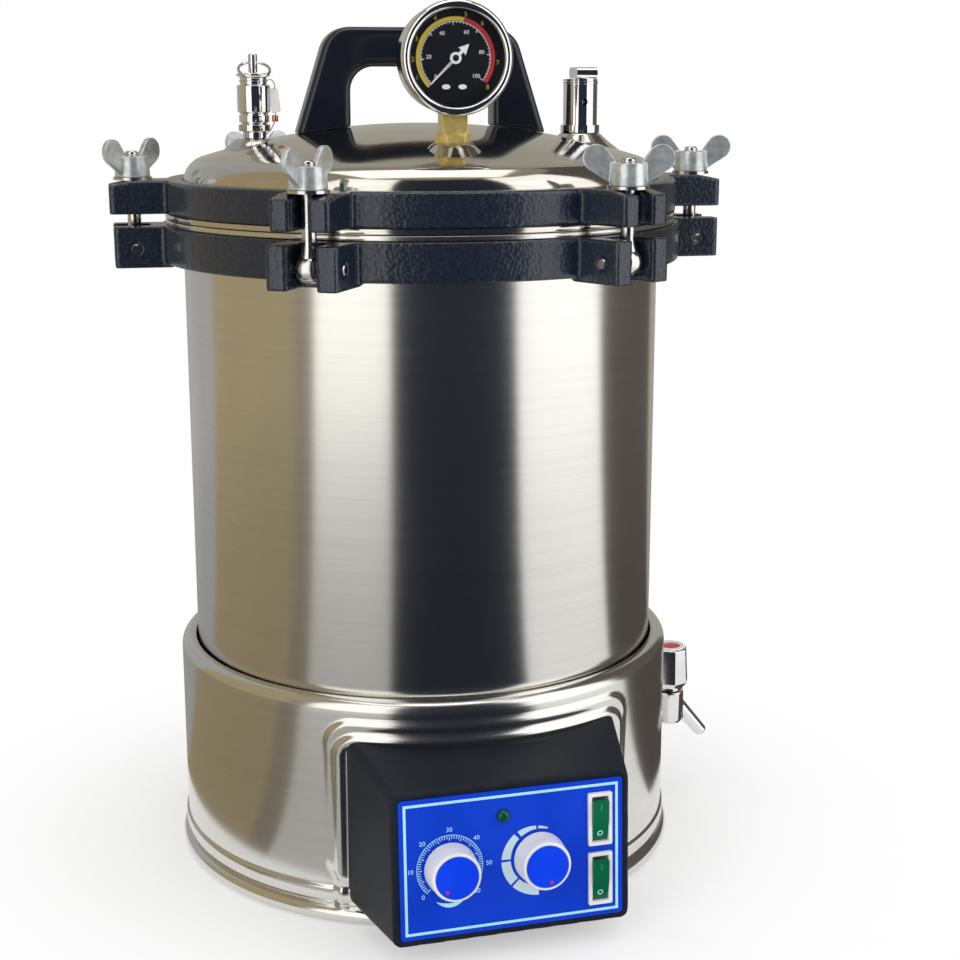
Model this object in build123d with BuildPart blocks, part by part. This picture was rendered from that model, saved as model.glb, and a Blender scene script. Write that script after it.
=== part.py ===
from build123d import *
import os
from math import asin, cos, degrees, hypot, radians, sin, sqrt

# Portable steam sterilizer: an upright stainless pot on a round heater base, its domed lid held
# down by six swing bolts with wing nuts, and a control box on the front of the base.
# Millimetres, +Z up, the front towards -Y. The origin is on the table, on the pot's axis.

# Pot
pot_bore = 280.0
pot_wall = 2.0
pot_depth = 294.0
pot_floor_z = 95.0
pot_corner = 14.0
flange_radius = pot_bore / 2 + 12.0
flange_thickness = 3.4

# Lid
dome_radius = pot_bore / 2 + 1.0
dome_sheet = 2.0
dome_rise = 50.5
crown_radius = 450.0
knuckle_radius = 16.0
lid_rim_thickness = 3.2
rim_gap = 0.3
gasket_inner = pot_bore / 2 + 0.3
gasket_width = 7.5
gasket_thickness = 2.0
fitting_circle = dome_radius - 42.4
boss_radius = 12.0
boss_depth = 11.0
boss_drop = {"safety": 8.8, "gauge": 8.9, "release": 6.1}

# Clamp rings and their lugs
lower_ring_outer = flange_radius + 2.8
lower_ring_height = 21.6
upper_ring_outer = flange_radius + 0.4
upper_ring_height = 19.0
ring_fit = 0.4
ring_edge = 2.0
lug_count = 6
bolt_circle = lower_ring_outer + 15.1
lower_lug_reach = bolt_circle + 12.2
lower_lug_width = 40.0
lower_lug_slot = 16.0
lower_lug_drop = 2.0
upper_lug_reach = bolt_circle + 14.0
upper_lug_width = 33.0
upper_lug_slot = 10.0
upper_lug_crown = 2.8
slot_end_gap = 1.2

# Heights and widths that follow from the pot, the lid and the rings
pot_radius = pot_bore / 2 + pot_wall
pot_floor_top = pot_floor_z + pot_wall
pot_top_z = pot_floor_top + pot_depth
flange_bottom_z = pot_top_z - flange_thickness
lower_ring_z = flange_bottom_z - lower_ring_height
rim_bottom_z = pot_top_z + rim_gap
rim_top_z = rim_bottom_z + lid_rim_thickness
upper_ring_top_z = rim_top_z + upper_ring_height
crest_z = rim_top_z + dome_rise
boss_top_z = {name: crest_z - drop for name, drop in boss_drop.items()}
crown_centre_z = crest_z - crown_radius
knuckle_r = dome_radius - knuckle_radius
knuckle_z = crown_centre_z + sqrt((crown_radius - knuckle_radius) ** 2 - knuckle_r ** 2)
crown_angle = degrees(asin(knuckle_r / (crown_radius - knuckle_radius)))

# Swing bolts
rod_radius = 4.0
eye_radius = 7.75
eye_width = 12.5
pin_radius = 3.0
pin_z = lower_ring_z + 9.0
rod_top_z = upper_ring_top_z + 16.5
running_gap = 0.075
fixed_gap = 0.05
washer_radius = 11.2
washer_thickness = 1.6
washer_gap = 0.5
nut_foot_radius = 10.2
nut_crown_radius = 9.4
nut_height = 12.0
wing_reach = 24.5
wing_tip_rise = 21.8
wing_thickness = 3.0
wing_lobe_radius = 7.2
wing_root_radius = 4.9
wing_turns = (77.8, 42.8, 0.0, 139.8, 83.8, 137.8)

# Base skirt
base_turn = 4.1
skirt_radius = pot_radius + 10.0
skirt_sheet = 1.0
skirt_top_z = pot_floor_z + 39.5
skirt_lip_radius = pot_radius + 1.1
skirt_lip_drop = 3.5
skirt_shoulder = 8.0
bead_outer = skirt_radius + 3.7
bead_radius = 5.0
band_bottom_z = 12.5
band_top_z = 21.5
band_radius = skirt_radius + 1.3
opening_half_width = 74.0
opening_bottom_z = 18.0
opening_top_z = 106.0
surround_half_width = 90.0
surround_bottom_z = 24.0
surround_top_z = 124.0
surround_proud = 1.6
surround_window_gap = 1.0
spacer_width = 14.0
spacer_bottom_z = 112.0
spacer_height = 14.0
cover_thickness = 1.2

# Control box
box_reach = skirt_radius + 38.0
box_mid_z = 57.1
box_front_width = 134.6
box_front_height = 86.6
box_lean = 3.2
box_side_taper = 0.2
box_top_slope = 0.21
box_bottom_z = 13.0
box_wall = 2.6
box_corner = 5.0
box_back_reach = box_reach - 72.0
panel_width = 127.0
panel_height = 79.0
panel_thickness = 1.5
panel_pocket = 1.2
panel_gap = 0.2

# Controls, measured on the panel from its centre
timer_at = (-35.5, -0.7)
temperature_at = (15.0, -0.9)
lamp_at = (-5.3, 25.0)
upper_switch_at = (50.1, 17.0)
lower_switch_at = (50.1, -17.4)
knob_base_radius = 14.6
knob_face_radius = 13.2
knob_height = 15.5
knob_gap = 0.6
cap_radius = 12.0
cap_thickness = 1.2
spindle_radius = 3.0
spindle_depth = 20.0
bush_radius = 4.8
timer_body_radius = 20.0
timer_body_depth = 30.0
thermostat_size = 32.0
thermostat_depth = 26.0
capillary_radius = 1.4
bulb_radius = 3.2
bulb_length = 52.0
lamp_radius = 3.7
lamp_depth = 16.0
switch_width = 13.8
switch_length = 30.2
switch_proud = 1.8
switch_depth = 20.0
switch_frame = 2.1
rocker_tilt = 10.0
rocker_side_gap = 0.25
rocker_end_gap = 1.3
rocker_pivot_depth = 4.0
rocker_pin_radius = 1.2

# Inside the pot
element_radius = 75.0
element_tube = 4.0
element_rise = 14.0
element_bend = 10.0
element_gap_angle = 20.0
element_leg_below = 16.0
element_flange_radius = 8.5
element_flange_thickness = 3.0
plate_radius = pot_bore / 2 - 6.0
plate_thickness = 1.2
plate_rise = 31.0
plate_leg_radius = 4.0
plate_leg_circle = plate_radius - 14.0
basket_radius = pot_bore / 2 - 15.0
basket_wall = 1.2
basket_height = 172.0
basket_rim = 2.4
basket_hole_radius = 2.5
ear_width = 16.0
ear_rise = 9.0
ear_thickness = 1.6
bail_wire = 2.0
bail_pin_radius = 1.7
bail_pivot_rise = 4.0
bail_ear_gap = 0.4

# Drain
drain_circle = pot_radius - 30.0
drain_z = 58.0
drain_pipe_radius = 6.0
drain_pipe_bore = 4.5
drain_bend = 18.0
tap_reach = skirt_radius + 17.5
tap_body_radius = 9.5
tap_body_bottom_z = 49.0
tap_body_top_z = 71.0
tap_tail_radius = 6.5
tap_collar_radius = 10.5
tap_collar_thickness = 4.0
tap_nut_thickness = 5.0
spout_radius = 5.6
spout_bore = 3.6
spout_drop = 4.2
spout_reach = 23.5
spout_fall = 27.1
tap_knob_radius = 12.6
tap_knob_foot_radius = 7.8
tap_knob_foot_height = 6.2
tap_knob_height = 30.4
tap_knob_taper = 3.0
tap_knob_gap = 0.5
tap_stem_radius = 4.0
tap_stem_depth = 12.0
button_radius = 6.6
button_recess = 1.4

# Handle
handle_foot_half = 74.5
handle_top_half = 55.3
handle_top_z = crest_z + 55.0
handle_foot_z = crest_z - 5.3
handle_inner_half = 42.8
handle_inner_top_z = crest_z + 32.5
handle_inner_corner = 14.0
handle_outer_corner = 17.0
handle_depth = 22.0
handle_edge = 4.0
handle_screw_at = 59.0
handle_screw_radius = 4.0
handle_screw_bite = 26.0
handle_screw_head_radius = 7.0
handle_screw_head = 5.0
handle_seat_gap = 0.1

# Pressure gauge
gauge_z = crest_z + 36.1
case_radius = 29.0
case_front = 14.0
case_back = 12.5
case_wall = 1.2
bezel_radius = 30.3
bezel_inner = 26.2
bezel_depth = 6.0
bezel_lip = 1.6
glass_thickness = 1.8
dial_radius = 27.4
dial_thickness = 0.8
dial_set_back = 7.6
pointer_thickness = 0.6
pointer_length = 21.5
pointer_tail = 8.0
pointer_hub = 3.2
pointer_stand_off = 1.0
neck_size = 14.0
gauge_nut_across = 17.5
gauge_nut_height = 5.1
fitting_thread_radius = 6.0
fitting_thread_length = 12.0
bourdon_radius = 18.0
bourdon_tube = 2.2

# Safety valve
safety_thread_radius = 5.5
safety_collar_radius = 8.8
safety_collar_z = (crest_z + 0.6, crest_z + 4.9)
safety_body_radius = 9.6
safety_body_top_z = crest_z + 21.8
safety_neck_radius = 7.8
safety_neck_top_z = crest_z + 26.7
safety_flange_radius = 9.8
safety_flange_top_z = crest_z + 28.6
safety_chamber_radius = 6.8
safety_chamber_z = (crest_z + 7.0, crest_z + 24.0)
safety_port_radius = 3.2
safety_stem_radius = 1.8
safety_disc_radius = 5.4
safety_disc_thickness = 2.0
safety_post_radius = 2.6
safety_post_z = (crest_z + 29.1, crest_z + 39.6)
safety_eye_z = crest_z + 35.0
safety_eye_radius = 1.3
safety_spring_radius = 4.6
safety_spring_wire = 0.7
safety_spring_turns = 5
pull_ring_radius = 9.0
pull_ring_wire = 0.8
pull_ring_slope = 29.0

# Release valve
release_base_radius = 11.8
release_base_top_z = crest_z - 1.7
release_body_radius = 10.3
release_body_top_z = crest_z + 25.5
release_hole_radius = 1.9
release_hole_z = crest_z + 12.0
release_thread_radius = 6.0
release_stub = 26.0
release_bore = 3.0
lever_width = 12.6
lever_height = 6.6
lever_length = 19.0
lever_pivot_rise = 3.5
lever_slot = 5.2
lever_tongue = 4.8
lever_pin_radius = 1.25

# Cable gland at the back of the base
gland_z = 40.0
gland_radius = 8.0
gland_bore = 4.2
gland_cap_radius = 11.0
gland_outside = 14.0
gland_inside = 9.0

# Places that follow from the sizes above
plate_bottom_z = pot_floor_top + plate_rise
plate_top_z = plate_bottom_z + plate_thickness
basket_bottom_z = plate_top_z
basket_rim_z = basket_bottom_z + basket_height
bail_z = basket_rim_z + bail_pivot_rise
washer_top_z = upper_ring_top_z + washer_thickness
lug_step = 360.0 / lug_count
case_front_y = -fitting_circle - case_front
bezel_front_y = case_front_y - bezel_lip
dial_y = bezel_front_y + dial_set_back

base_plane = Plane.XY.rotated((0, 0, base_turn))
box_out = -base_plane.y_dir
lean = radians(box_lean)
panel_plane = Plane(
    origin=box_out * box_reach + Vector(0, 0, box_mid_z),
    x_dir=base_plane.x_dir,
    z_dir=box_out * cos(lean) + Vector(0, 0, sin(lean)),
)
box_back_half = box_front_width / 2 + (box_reach - box_back_reach) * box_side_taper
box_back_top_z = box_mid_z + box_front_height / 2 + (box_reach - box_back_reach) * box_top_slope

# Where the box's tapered side meets the skirt's circle
box_side = box_front_width / 2 + box_reach * box_side_taper
side_square = 1 + box_side_taper ** 2
box_skirt_half = (
    box_side - sqrt(box_side ** 2 - side_square * (box_side ** 2 - (box_side_taper * skirt_radius) ** 2))
) / side_square
box_corner_reach = sqrt(skirt_radius ** 2 - box_skirt_half ** 2)
box_skirt_top = box_mid_z + box_front_height / 2 + (box_reach - box_corner_reach) * box_top_slope


def crown_height(radius, inside=False):
    """Height of the lid's crown at a distance from the axis."""
    ball = crown_radius - (dome_sheet if inside else 0.0)
    return crown_centre_z + sqrt(ball ** 2 - radius ** 2)


def round_corner(sketch, x, y, radius):
    """Rounds the corner of the open sketch that lies nearest to a point."""
    fillet(sketch.vertices().sort_by_distance((x, y, 0))[0], radius)


def spoke_plane(angle, radius=0.0, z=0.0):
    """A level plane on a spoke of the part, its X pointing outwards."""
    spoke = Vector(cos(radians(angle)), sin(radians(angle)), 0)
    return Plane(origin=spoke * radius + Vector(0, 0, z), x_dir=spoke, z_dir=(0, 0, 1))


def save(part, name):
    """Labels a finished piece and writes its file."""
    part.label = name
    export_step(part, f"parts/{name}.step")


os.makedirs("parts", exist_ok=True)

# The pot, a drawn stainless shell with a flat turned-out flange
with BuildPart() as vessel:
    with BuildSketch(Plane.XZ) as shell:
        with BuildLine():
            Polyline(
                (0, pot_floor_z), (pot_radius, pot_floor_z), (pot_radius, flange_bottom_z),
                (flange_radius, flange_bottom_z), (flange_radius, pot_top_z),
                (pot_bore / 2, pot_top_z), (pot_bore / 2, pot_floor_top), (0, pot_floor_top),
                close=True,
            )
        make_face()
        round_corner(shell, pot_radius, pot_floor_z, pot_corner)
        round_corner(shell, pot_bore / 2, pot_floor_top, pot_corner - pot_wall)
    revolve(axis=Axis.Z)
    with BuildSketch(Plane.XY.offset(pot_floor_z)):
        with Locations(spoke_plane(base_turn, drain_circle).origin):
            Circle(drain_pipe_radius + fixed_gap)
        element_leg_x = element_radius * sin(radians(element_gap_angle)) - element_bend * cos(
            radians(element_gap_angle)
        )
        element_leg_y = element_radius * cos(radians(element_gap_angle)) + element_bend * sin(
            radians(element_gap_angle)
        )
        with Locations((element_leg_x, element_leg_y), (-element_leg_x, element_leg_y)):
            Circle(element_tube + fixed_gap)
    extrude(amount=pot_wall, mode=Mode.SUBTRACT)
save(vessel.part, "vessel")


# The lower clamp ring hangs under the flange and carries the hinge pins in its forked lugs
def lug_outline(reach, width, slot, inner, slot_start):
    """Draws one forked lug, pointing along X, in the sketch that is open."""
    with Locations(((inner + reach) / 2, 0)):
        Rectangle(reach - inner, width)
    with Locations(((slot_start + reach) / 2 + slot, 0)):
        Rectangle(reach - slot_start + 2 * slot, slot, mode=Mode.SUBTRACT)


lower_bore = pot_radius + ring_fit
lower_slot_start = bolt_circle - eye_radius - slot_end_gap
with BuildPart() as lower_clamp_ring:
    with BuildSketch(Plane.XY.offset(lower_ring_z)):
        Circle(lower_ring_outer)
        Circle(lower_bore, mode=Mode.SUBTRACT)
    extrude(amount=lower_ring_height)
    fillet(lower_clamp_ring.edges().group_by(Axis.Z)[0], ring_edge)
    with BuildSketch(Plane.XY.offset(lower_ring_z - lower_lug_drop)):
        with PolarLocations(0, lug_count):
            lug_outline(
                lower_lug_reach, lower_lug_width, lower_lug_slot,
                lower_ring_outer - 3 * ring_edge, lower_slot_start,
            )
    extrude(amount=lower_ring_height + lower_lug_drop)
    fillet(
        lower_clamp_ring.edges().filter_by(Axis.Z).filter_by(
            lambda e: hypot(e.center().X, e.center().Y) > bolt_circle + pin_radius
        ),
        ring_edge,
    )
    for k in range(lug_count):
        across = Plane(
            origin=spoke_plane(k * lug_step, bolt_circle, pin_z).origin,
            z_dir=spoke_plane(k * lug_step).y_dir,
        )
        with BuildSketch(across):
            Circle(pin_radius + fixed_gap)
        extrude(amount=lower_lug_width / 2 + 1, both=True, mode=Mode.SUBTRACT)
save(lower_clamp_ring.part, "lower_clamp_ring")

with BuildPart() as hinge_pins:
    for k in range(lug_count):
        across = Plane(
            origin=spoke_plane(k * lug_step, bolt_circle, pin_z).origin,
            z_dir=spoke_plane(k * lug_step).y_dir,
        )
        with BuildSketch(across):
            Circle(pin_radius)
        extrude(amount=lower_lug_width / 2, both=True)
    chamfer(hinge_pins.edges().filter_by(GeomType.CIRCLE), 0.5)
save(hinge_pins.part, "hinge_pins")

# The base skirt: rolled shoulder on top, a swaged band, a rolled bead at the foot, and a pressed-out
# surround where the control box stands against it
lip = skirt_lip_radius
box_face = Plane(origin=box_out * box_reach, x_dir=base_plane.x_dir, z_dir=box_out)
window_half = box_skirt_half + surround_window_gap
window_top = box_skirt_top + surround_window_gap
with BuildPart() as surround:
    with BuildSketch(Plane.XZ):
        with BuildLine():
            Polyline(
                (skirt_radius - skirt_sheet / 2, surround_bottom_z),
                (skirt_radius + surround_proud, surround_bottom_z),
                (skirt_radius + surround_proud, surround_top_z),
                (skirt_radius - skirt_sheet / 2, surround_top_z),
                close=True,
            )
        make_face()
    revolve(axis=Axis.Z)
    with BuildSketch(box_face):
        with Locations((0, (surround_bottom_z + surround_top_z) / 2)):
            RectangleRounded(
                2 * surround_half_width, surround_top_z - surround_bottom_z, 3 * box_corner
            )
    extrude(amount=-box_reach, mode=Mode.INTERSECT)
    with BuildSketch(box_face):
        with Locations((0, window_top / 2)):
            RectangleRounded(2 * window_half, window_top, box_corner)
    extrude(amount=-box_reach, mode=Mode.SUBTRACT)

with BuildPart() as base_skirt:
    with BuildSketch(Plane.XZ) as wall:
        with BuildLine():
            Polyline(
                (skirt_radius - skirt_sheet, bead_radius), (skirt_radius, bead_radius),
                (skirt_radius, skirt_top_z), (lip, skirt_top_z), (lip, skirt_top_z - skirt_lip_drop),
                (lip + skirt_sheet, skirt_top_z - skirt_lip_drop),
                (lip + skirt_sheet, skirt_top_z - skirt_sheet),
                (skirt_radius - skirt_sheet, skirt_top_z - skirt_sheet),
                close=True,
            )
        make_face()
        round_corner(wall, skirt_radius, skirt_top_z, skirt_shoulder - 2 * skirt_sheet)
        round_corner(
            wall, skirt_radius - skirt_sheet, skirt_top_z - skirt_sheet,
            skirt_shoulder - 3 * skirt_sheet,
        )
        with Locations((bead_outer - bead_radius, bead_radius)):
            Circle(bead_radius)
        band_inner = skirt_radius - skirt_sheet / 2
        with Locations(((band_inner + band_radius) / 2, (band_bottom_z + band_top_z) / 2)):
            RectangleRounded(band_radius - band_inner, band_top_z - band_bottom_z, 0.6)
    revolve(axis=Axis.Z)
    add(surround.part)
    with BuildSketch(box_face):
        with Locations((0, (opening_bottom_z + opening_top_z) / 2)):
            RectangleRounded(
                2 * opening_half_width, opening_top_z - opening_bottom_z, box_corner
            )
    extrude(amount=-(box_reach - pot_radius / 2), mode=Mode.SUBTRACT)
    with PolarLocations((pot_radius + skirt_radius) / 2, lug_count, start_angle=lug_step / 2):
        with Locations((0, 0, spacer_bottom_z)):
            Box(
                skirt_radius - pot_radius - skirt_sheet, spacer_width, spacer_height,
                align=(Align.CENTER, Align.CENTER, Align.MIN),
            )
    with BuildSketch(Plane(origin=(0, 0, 0), x_dir=base_plane.y_dir, z_dir=base_plane.x_dir)):
        with Locations((0, drain_z)):
            Circle(tap_tail_radius + fixed_gap)
    extrude(amount=skirt_radius + surround_proud, mode=Mode.SUBTRACT)
    with BuildSketch(Plane(origin=(0, 0, 0), x_dir=base_plane.x_dir, z_dir=base_plane.y_dir)):
        with Locations((0, -gland_z)):
            Circle(gland_radius + fixed_gap)
    extrude(amount=skirt_radius + surround_proud, mode=Mode.SUBTRACT)
save(base_skirt.part, "base_skirt")

with BuildPart() as bottom_cover:
    bead_inset = sqrt(bead_radius ** 2 - (bead_radius - cover_thickness) ** 2)
    cover_radius = bead_outer - bead_radius - bead_inset - fixed_gap
    with BuildSketch(Plane.XY):
        Circle(cover_radius)
        with PolarLocations(cover_radius * 0.6, 12):
            SlotOverall(44, 6, mode=Mode.SUBTRACT)
    extrude(amount=cover_thickness)
save(bottom_cover.part, "bottom_cover")

# The control box: a tapered plastic housing whose rim hugs the skirt
box_back_plane = Plane(
    origin=box_out * box_back_reach + Vector(0, 0, (box_bottom_z + box_back_top_z) / 2),
    x_dir=base_plane.x_dir,
    z_dir=box_out,
)
with BuildPart() as control_box:
    with BuildSketch(box_back_plane):
        RectangleRounded(2 * box_back_half, box_back_top_z - box_bottom_z, box_corner)
    with BuildSketch(panel_plane):
        RectangleRounded(box_front_width, box_front_height, box_corner)
    loft()
    with BuildSketch(box_back_plane):
        RectangleRounded(
            2 * (box_back_half - box_wall), box_back_top_z - box_bottom_z - 2 * box_wall,
            box_corner - box_wall / 2,
        )
    with BuildSketch(panel_plane.offset(-box_wall)):
        RectangleRounded(
            box_front_width - 2 * box_wall, box_front_height - 2 * box_wall,
            box_corner - box_wall / 2,
        )
    loft(mode=Mode.SUBTRACT)
    with BuildSketch(Plane.XY):
        Circle(skirt_radius + fixed_gap)
    extrude(amount=skirt_top_z, mode=Mode.SUBTRACT)
    with BuildSketch(Plane.XY):
        Circle(band_radius + fixed_gap)
    extrude(amount=band_top_z + fixed_gap, mode=Mode.SUBTRACT)
    with BuildSketch(panel_plane):
        RectangleRounded(panel_width + 2 * panel_gap, panel_height + 2 * panel_gap, 2)
    extrude(amount=-panel_pocket, mode=Mode.SUBTRACT)
    with BuildSketch(panel_plane):
        with Locations(timer_at, temperature_at):
            Circle(bush_radius + fixed_gap)
        with Locations(lamp_at):
            Circle(lamp_radius - 0.5 + fixed_gap)
        with Locations(upper_switch_at, lower_switch_at):
            Rectangle(switch_width - 2 + 2 * fixed_gap, switch_length - 2 + 2 * fixed_gap)
    extrude(amount=-2 * box_wall, mode=Mode.SUBTRACT)
save(control_box.part, "control_box")

with BuildPart() as front_panel:
    with BuildSketch(panel_plane.offset(-panel_pocket)):
        RectangleRounded(panel_width, panel_height, 2)
        with Locations(timer_at, temperature_at):
            Circle(bush_radius + fixed_gap, mode=Mode.SUBTRACT)
        with Locations(lamp_at):
            Circle(lamp_radius - 0.5 + fixed_gap, mode=Mode.SUBTRACT)
        with Locations(upper_switch_at, lower_switch_at):
            Rectangle(
                switch_width - 2 + 2 * fixed_gap, switch_length - 2 + 2 * fixed_gap,
                mode=Mode.SUBTRACT,
            )
    extrude(amount=panel_thickness)
save(front_panel.part, "front_panel")

# Heights over the panel plane, along its normal
panel_face = panel_thickness - panel_pocket
box_inside = -box_wall


def panel_spot(spot, height=0.0):
    """A plane on the panel at one control, raised by a height over the panel plane."""
    return Plane(
        origin=panel_plane.from_local_coords(Vector(spot[0], spot[1], height)),
        x_dir=panel_plane.x_dir,
        z_dir=panel_plane.z_dir,
    )


with BuildPart() as timer_unit:
    with BuildSketch(panel_spot(timer_at, box_inside)):
        Circle(timer_body_radius)
    extrude(amount=-timer_body_depth)
    with BuildSketch(panel_spot(timer_at, box_inside)):
        Circle(bush_radius)
    extrude(amount=panel_face - box_inside)
    with BuildSketch(panel_spot(timer_at, panel_face)):
        Circle(spindle_radius + running_gap)
    extrude(amount=-spindle_depth, mode=Mode.SUBTRACT)
save(timer_unit.part, "timer_unit")

# The thermostat's capillary runs back to a bulb under the pot's floor
bulb_z = pot_floor_z - bulb_radius - fixed_gap
bulb_back = 62.0
with BuildPart() as thermostat_unit:
    with BuildSketch(panel_spot(temperature_at, box_inside)):
        RectangleRounded(thermostat_size, thermostat_size, 3)
    extrude(amount=-thermostat_depth)
    with BuildSketch(panel_spot(temperature_at, box_inside)):
        Circle(bush_radius)
    extrude(amount=panel_face - box_inside)
    with BuildSketch(panel_spot(temperature_at, panel_face)):
        Circle(spindle_radius + running_gap)
    extrude(amount=-spindle_depth, mode=Mode.SUBTRACT)
    capillary_start = panel_spot(temperature_at, box_inside - thermostat_depth + 1).origin
    capillary_end = box_out * bulb_back + Vector(0, 0, bulb_z)
    capillary_mid = Vector(
        (capillary_start.X + capillary_end.X) / 2, (capillary_start.Y + capillary_end.Y) / 2,
        capillary_start.Z,
    )
    with BuildLine() as capillary_route:
        FilletPolyline(
            capillary_start, capillary_mid,
            capillary_mid + Vector(0, 0, bulb_z - capillary_start.Z), capillary_end, radius=10,
        )
    with BuildSketch(
        Plane(origin=capillary_route.line @ 0, z_dir=capillary_route.line % 0)
    ):
        Circle(capillary_radius)
    sweep(path=capillary_route.line)
    with BuildSketch(
        Plane(origin=capillary_route.line @ 1, z_dir=capillary_route.line % 1)
    ):
        Circle(bulb_radius)
    extrude(amount=bulb_length)
save(thermostat_unit.part, "thermostat_unit")

with BuildPart() as indicator_lamp:
    with BuildSketch(panel_spot(lamp_at, panel_face)):
        Circle(lamp_radius)
    extrude(amount=lamp_radius * 0.9)
    fillet(indicator_lamp.edges().filter_by(GeomType.CIRCLE).sort_by(Axis.Y)[0], lamp_radius * 0.8)
    with BuildSketch(panel_spot(lamp_at, panel_face)):
        Circle(lamp_radius - 0.5)
    extrude(amount=-lamp_depth)
save(indicator_lamp.part, "indicator_lamp")

# Two rocker switches; the bodies share one node, each rocker turns on pins in its body
rocker_width = switch_width - 2 * switch_frame - 2 * rocker_side_gap
rocker_length = switch_length - 2 * switch_frame - 2 * rocker_end_gap
pocket_depth = 12.0
with BuildPart() as switch_bodies:
    for spot in (upper_switch_at, lower_switch_at):
        with BuildSketch(panel_spot(spot, panel_face)):
            RectangleRounded(switch_width, switch_length, 1)
        extrude(amount=switch_proud)
        with BuildSketch(panel_spot(spot, panel_face)):
            Rectangle(switch_width - 2, switch_length - 2)
        extrude(amount=-switch_depth)
        with BuildSketch(panel_spot(spot, panel_face + switch_proud)):
            Rectangle(switch_width - 2 * switch_frame, switch_length - 2 * switch_frame)
        extrude(amount=-switch_proud - pocket_depth, mode=Mode.SUBTRACT)
        pin_hole = Plane(
            origin=panel_spot(spot, panel_face - rocker_pivot_depth).origin,
            x_dir=panel_plane.y_dir,
            z_dir=panel_plane.x_dir,
        )
        with BuildSketch(pin_hole):
            Circle(rocker_pin_radius + running_gap)
        extrude(amount=switch_width / 2 - 1.4, both=True, mode=Mode.SUBTRACT)
save(switch_bodies.part, "switch_bodies")


def rocker_plane(spot, tilt):
    """The plane across a rocker, its Z along the pin, its X along the rocker, tilted."""
    pivot = panel_spot(spot, panel_face - rocker_pivot_depth)
    along = pivot.y_dir * cos(radians(tilt)) + pivot.z_dir * sin(radians(tilt))
    return Plane(origin=pivot.origin, x_dir=along, z_dir=pivot.x_dir)


for name, spot in (("rocker_upper", upper_switch_at), ("rocker_lower", lower_switch_at)):
    with BuildPart() as rocker:
        with BuildSketch(rocker_plane(spot, rocker_tilt)):
            half = rocker_length / 2
            crown = rocker_pivot_depth + switch_proud + 1.6
            with BuildLine():
                Polyline(
                    (-half, crown - 1.6), (0, crown), (half, crown - 1.6), (half, crown - 4.0),
                    (half * 0.45, -4.0), (-half * 0.45, -4.0), (-half, crown - 4.0), close=True,
                )
            make_face()
        extrude(amount=rocker_width / 2, both=True)
        with BuildSketch(rocker_plane(spot, rocker_tilt)):
            Circle(rocker_pin_radius)
        extrude(amount=switch_width / 2 - 1.6, both=True)
    save(rocker.part, name)

for name, spot in (("timer", timer_at), ("temperature", temperature_at)):
    with BuildPart() as knob:
        with BuildSketch(panel_spot(spot, panel_face + knob_gap)):
            Circle(knob_base_radius)
        with BuildSketch(panel_spot(spot, panel_face + knob_height)):
            Circle(knob_face_radius)
        loft()
        with BuildSketch(panel_spot(spot, panel_face + knob_height)):
            Circle(cap_radius + fixed_gap)
        extrude(amount=-cap_thickness, mode=Mode.SUBTRACT)
        with BuildSketch(panel_spot(spot, panel_face + knob_gap)):
            Circle(spindle_radius)
        extrude(amount=-spindle_depth)
    save(knob.part, f"{name}_knob")
    with BuildPart() as cap:
        with BuildSketch(panel_spot(spot, panel_face + knob_height - cap_thickness)):
            Circle(cap_radius)
        extrude(amount=cap_thickness)
    save(cap.part, f"{name}_knob_cap")

# Inside the pot: the tubular heating element stands over the floor, its two legs through it
with BuildPart() as heating_element:
    element_z = pot_floor_top + element_rise
    ring_end = 90 - element_gap_angle
    tangent = Vector(-sin(radians(ring_end)), cos(radians(ring_end)), 0)
    with BuildLine() as element_route:
        ring = CenterArc(
            (0, 0, element_z), element_radius, 90 + element_gap_angle, 360 - 2 * element_gap_angle
        )
        for end, turn in ((ring @ 0, -1), (ring @ 1, 1)):
            away = Vector(turn * tangent.X, tangent.Y, 0)
            bend_mid = end + away * (element_bend * sin(radians(45))) - Vector(
                0, 0, element_bend * (1 - cos(radians(45)))
            )
            bend_end = end + away * element_bend - Vector(0, 0, element_bend)
            ThreePointArc(end, bend_mid, bend_end)
            Line(bend_end, Vector(bend_end.X, bend_end.Y, pot_floor_z - element_leg_below))
    leg_foot = Plane(
        origin=(element_leg_x, element_leg_y, pot_floor_z - element_leg_below), z_dir=(0, 0, 1)
    )
    with BuildSketch(leg_foot):
        Circle(element_tube)
    sweep(path=element_route.line)
    with BuildSketch(Plane.XY.offset(pot_floor_top)):
        with Locations((element_leg_x, element_leg_y), (-element_leg_x, element_leg_y)):
            Circle(element_flange_radius)
    extrude(amount=element_flange_thickness)
save(heating_element.part, "heating_element")

# The perforated support plate stands on legs over the element
with BuildPart() as support_plate:
    with BuildSketch(Plane.XY.offset(plate_bottom_z)):
        Circle(plate_radius)
        for hole_circle, holes in ((30, 6), (60, 12), (90, 18), (112, 24)):
            with PolarLocations(hole_circle, holes):
                Circle(5, mode=Mode.SUBTRACT)
    extrude(amount=plate_thickness)
    with BuildSketch(Plane.XY.offset(pot_floor_top)):
        with PolarLocations(plate_leg_circle, 3, start_angle=30):
            Circle(plate_leg_radius)
    extrude(amount=plate_rise)
save(support_plate.part, "support_plate")

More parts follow.
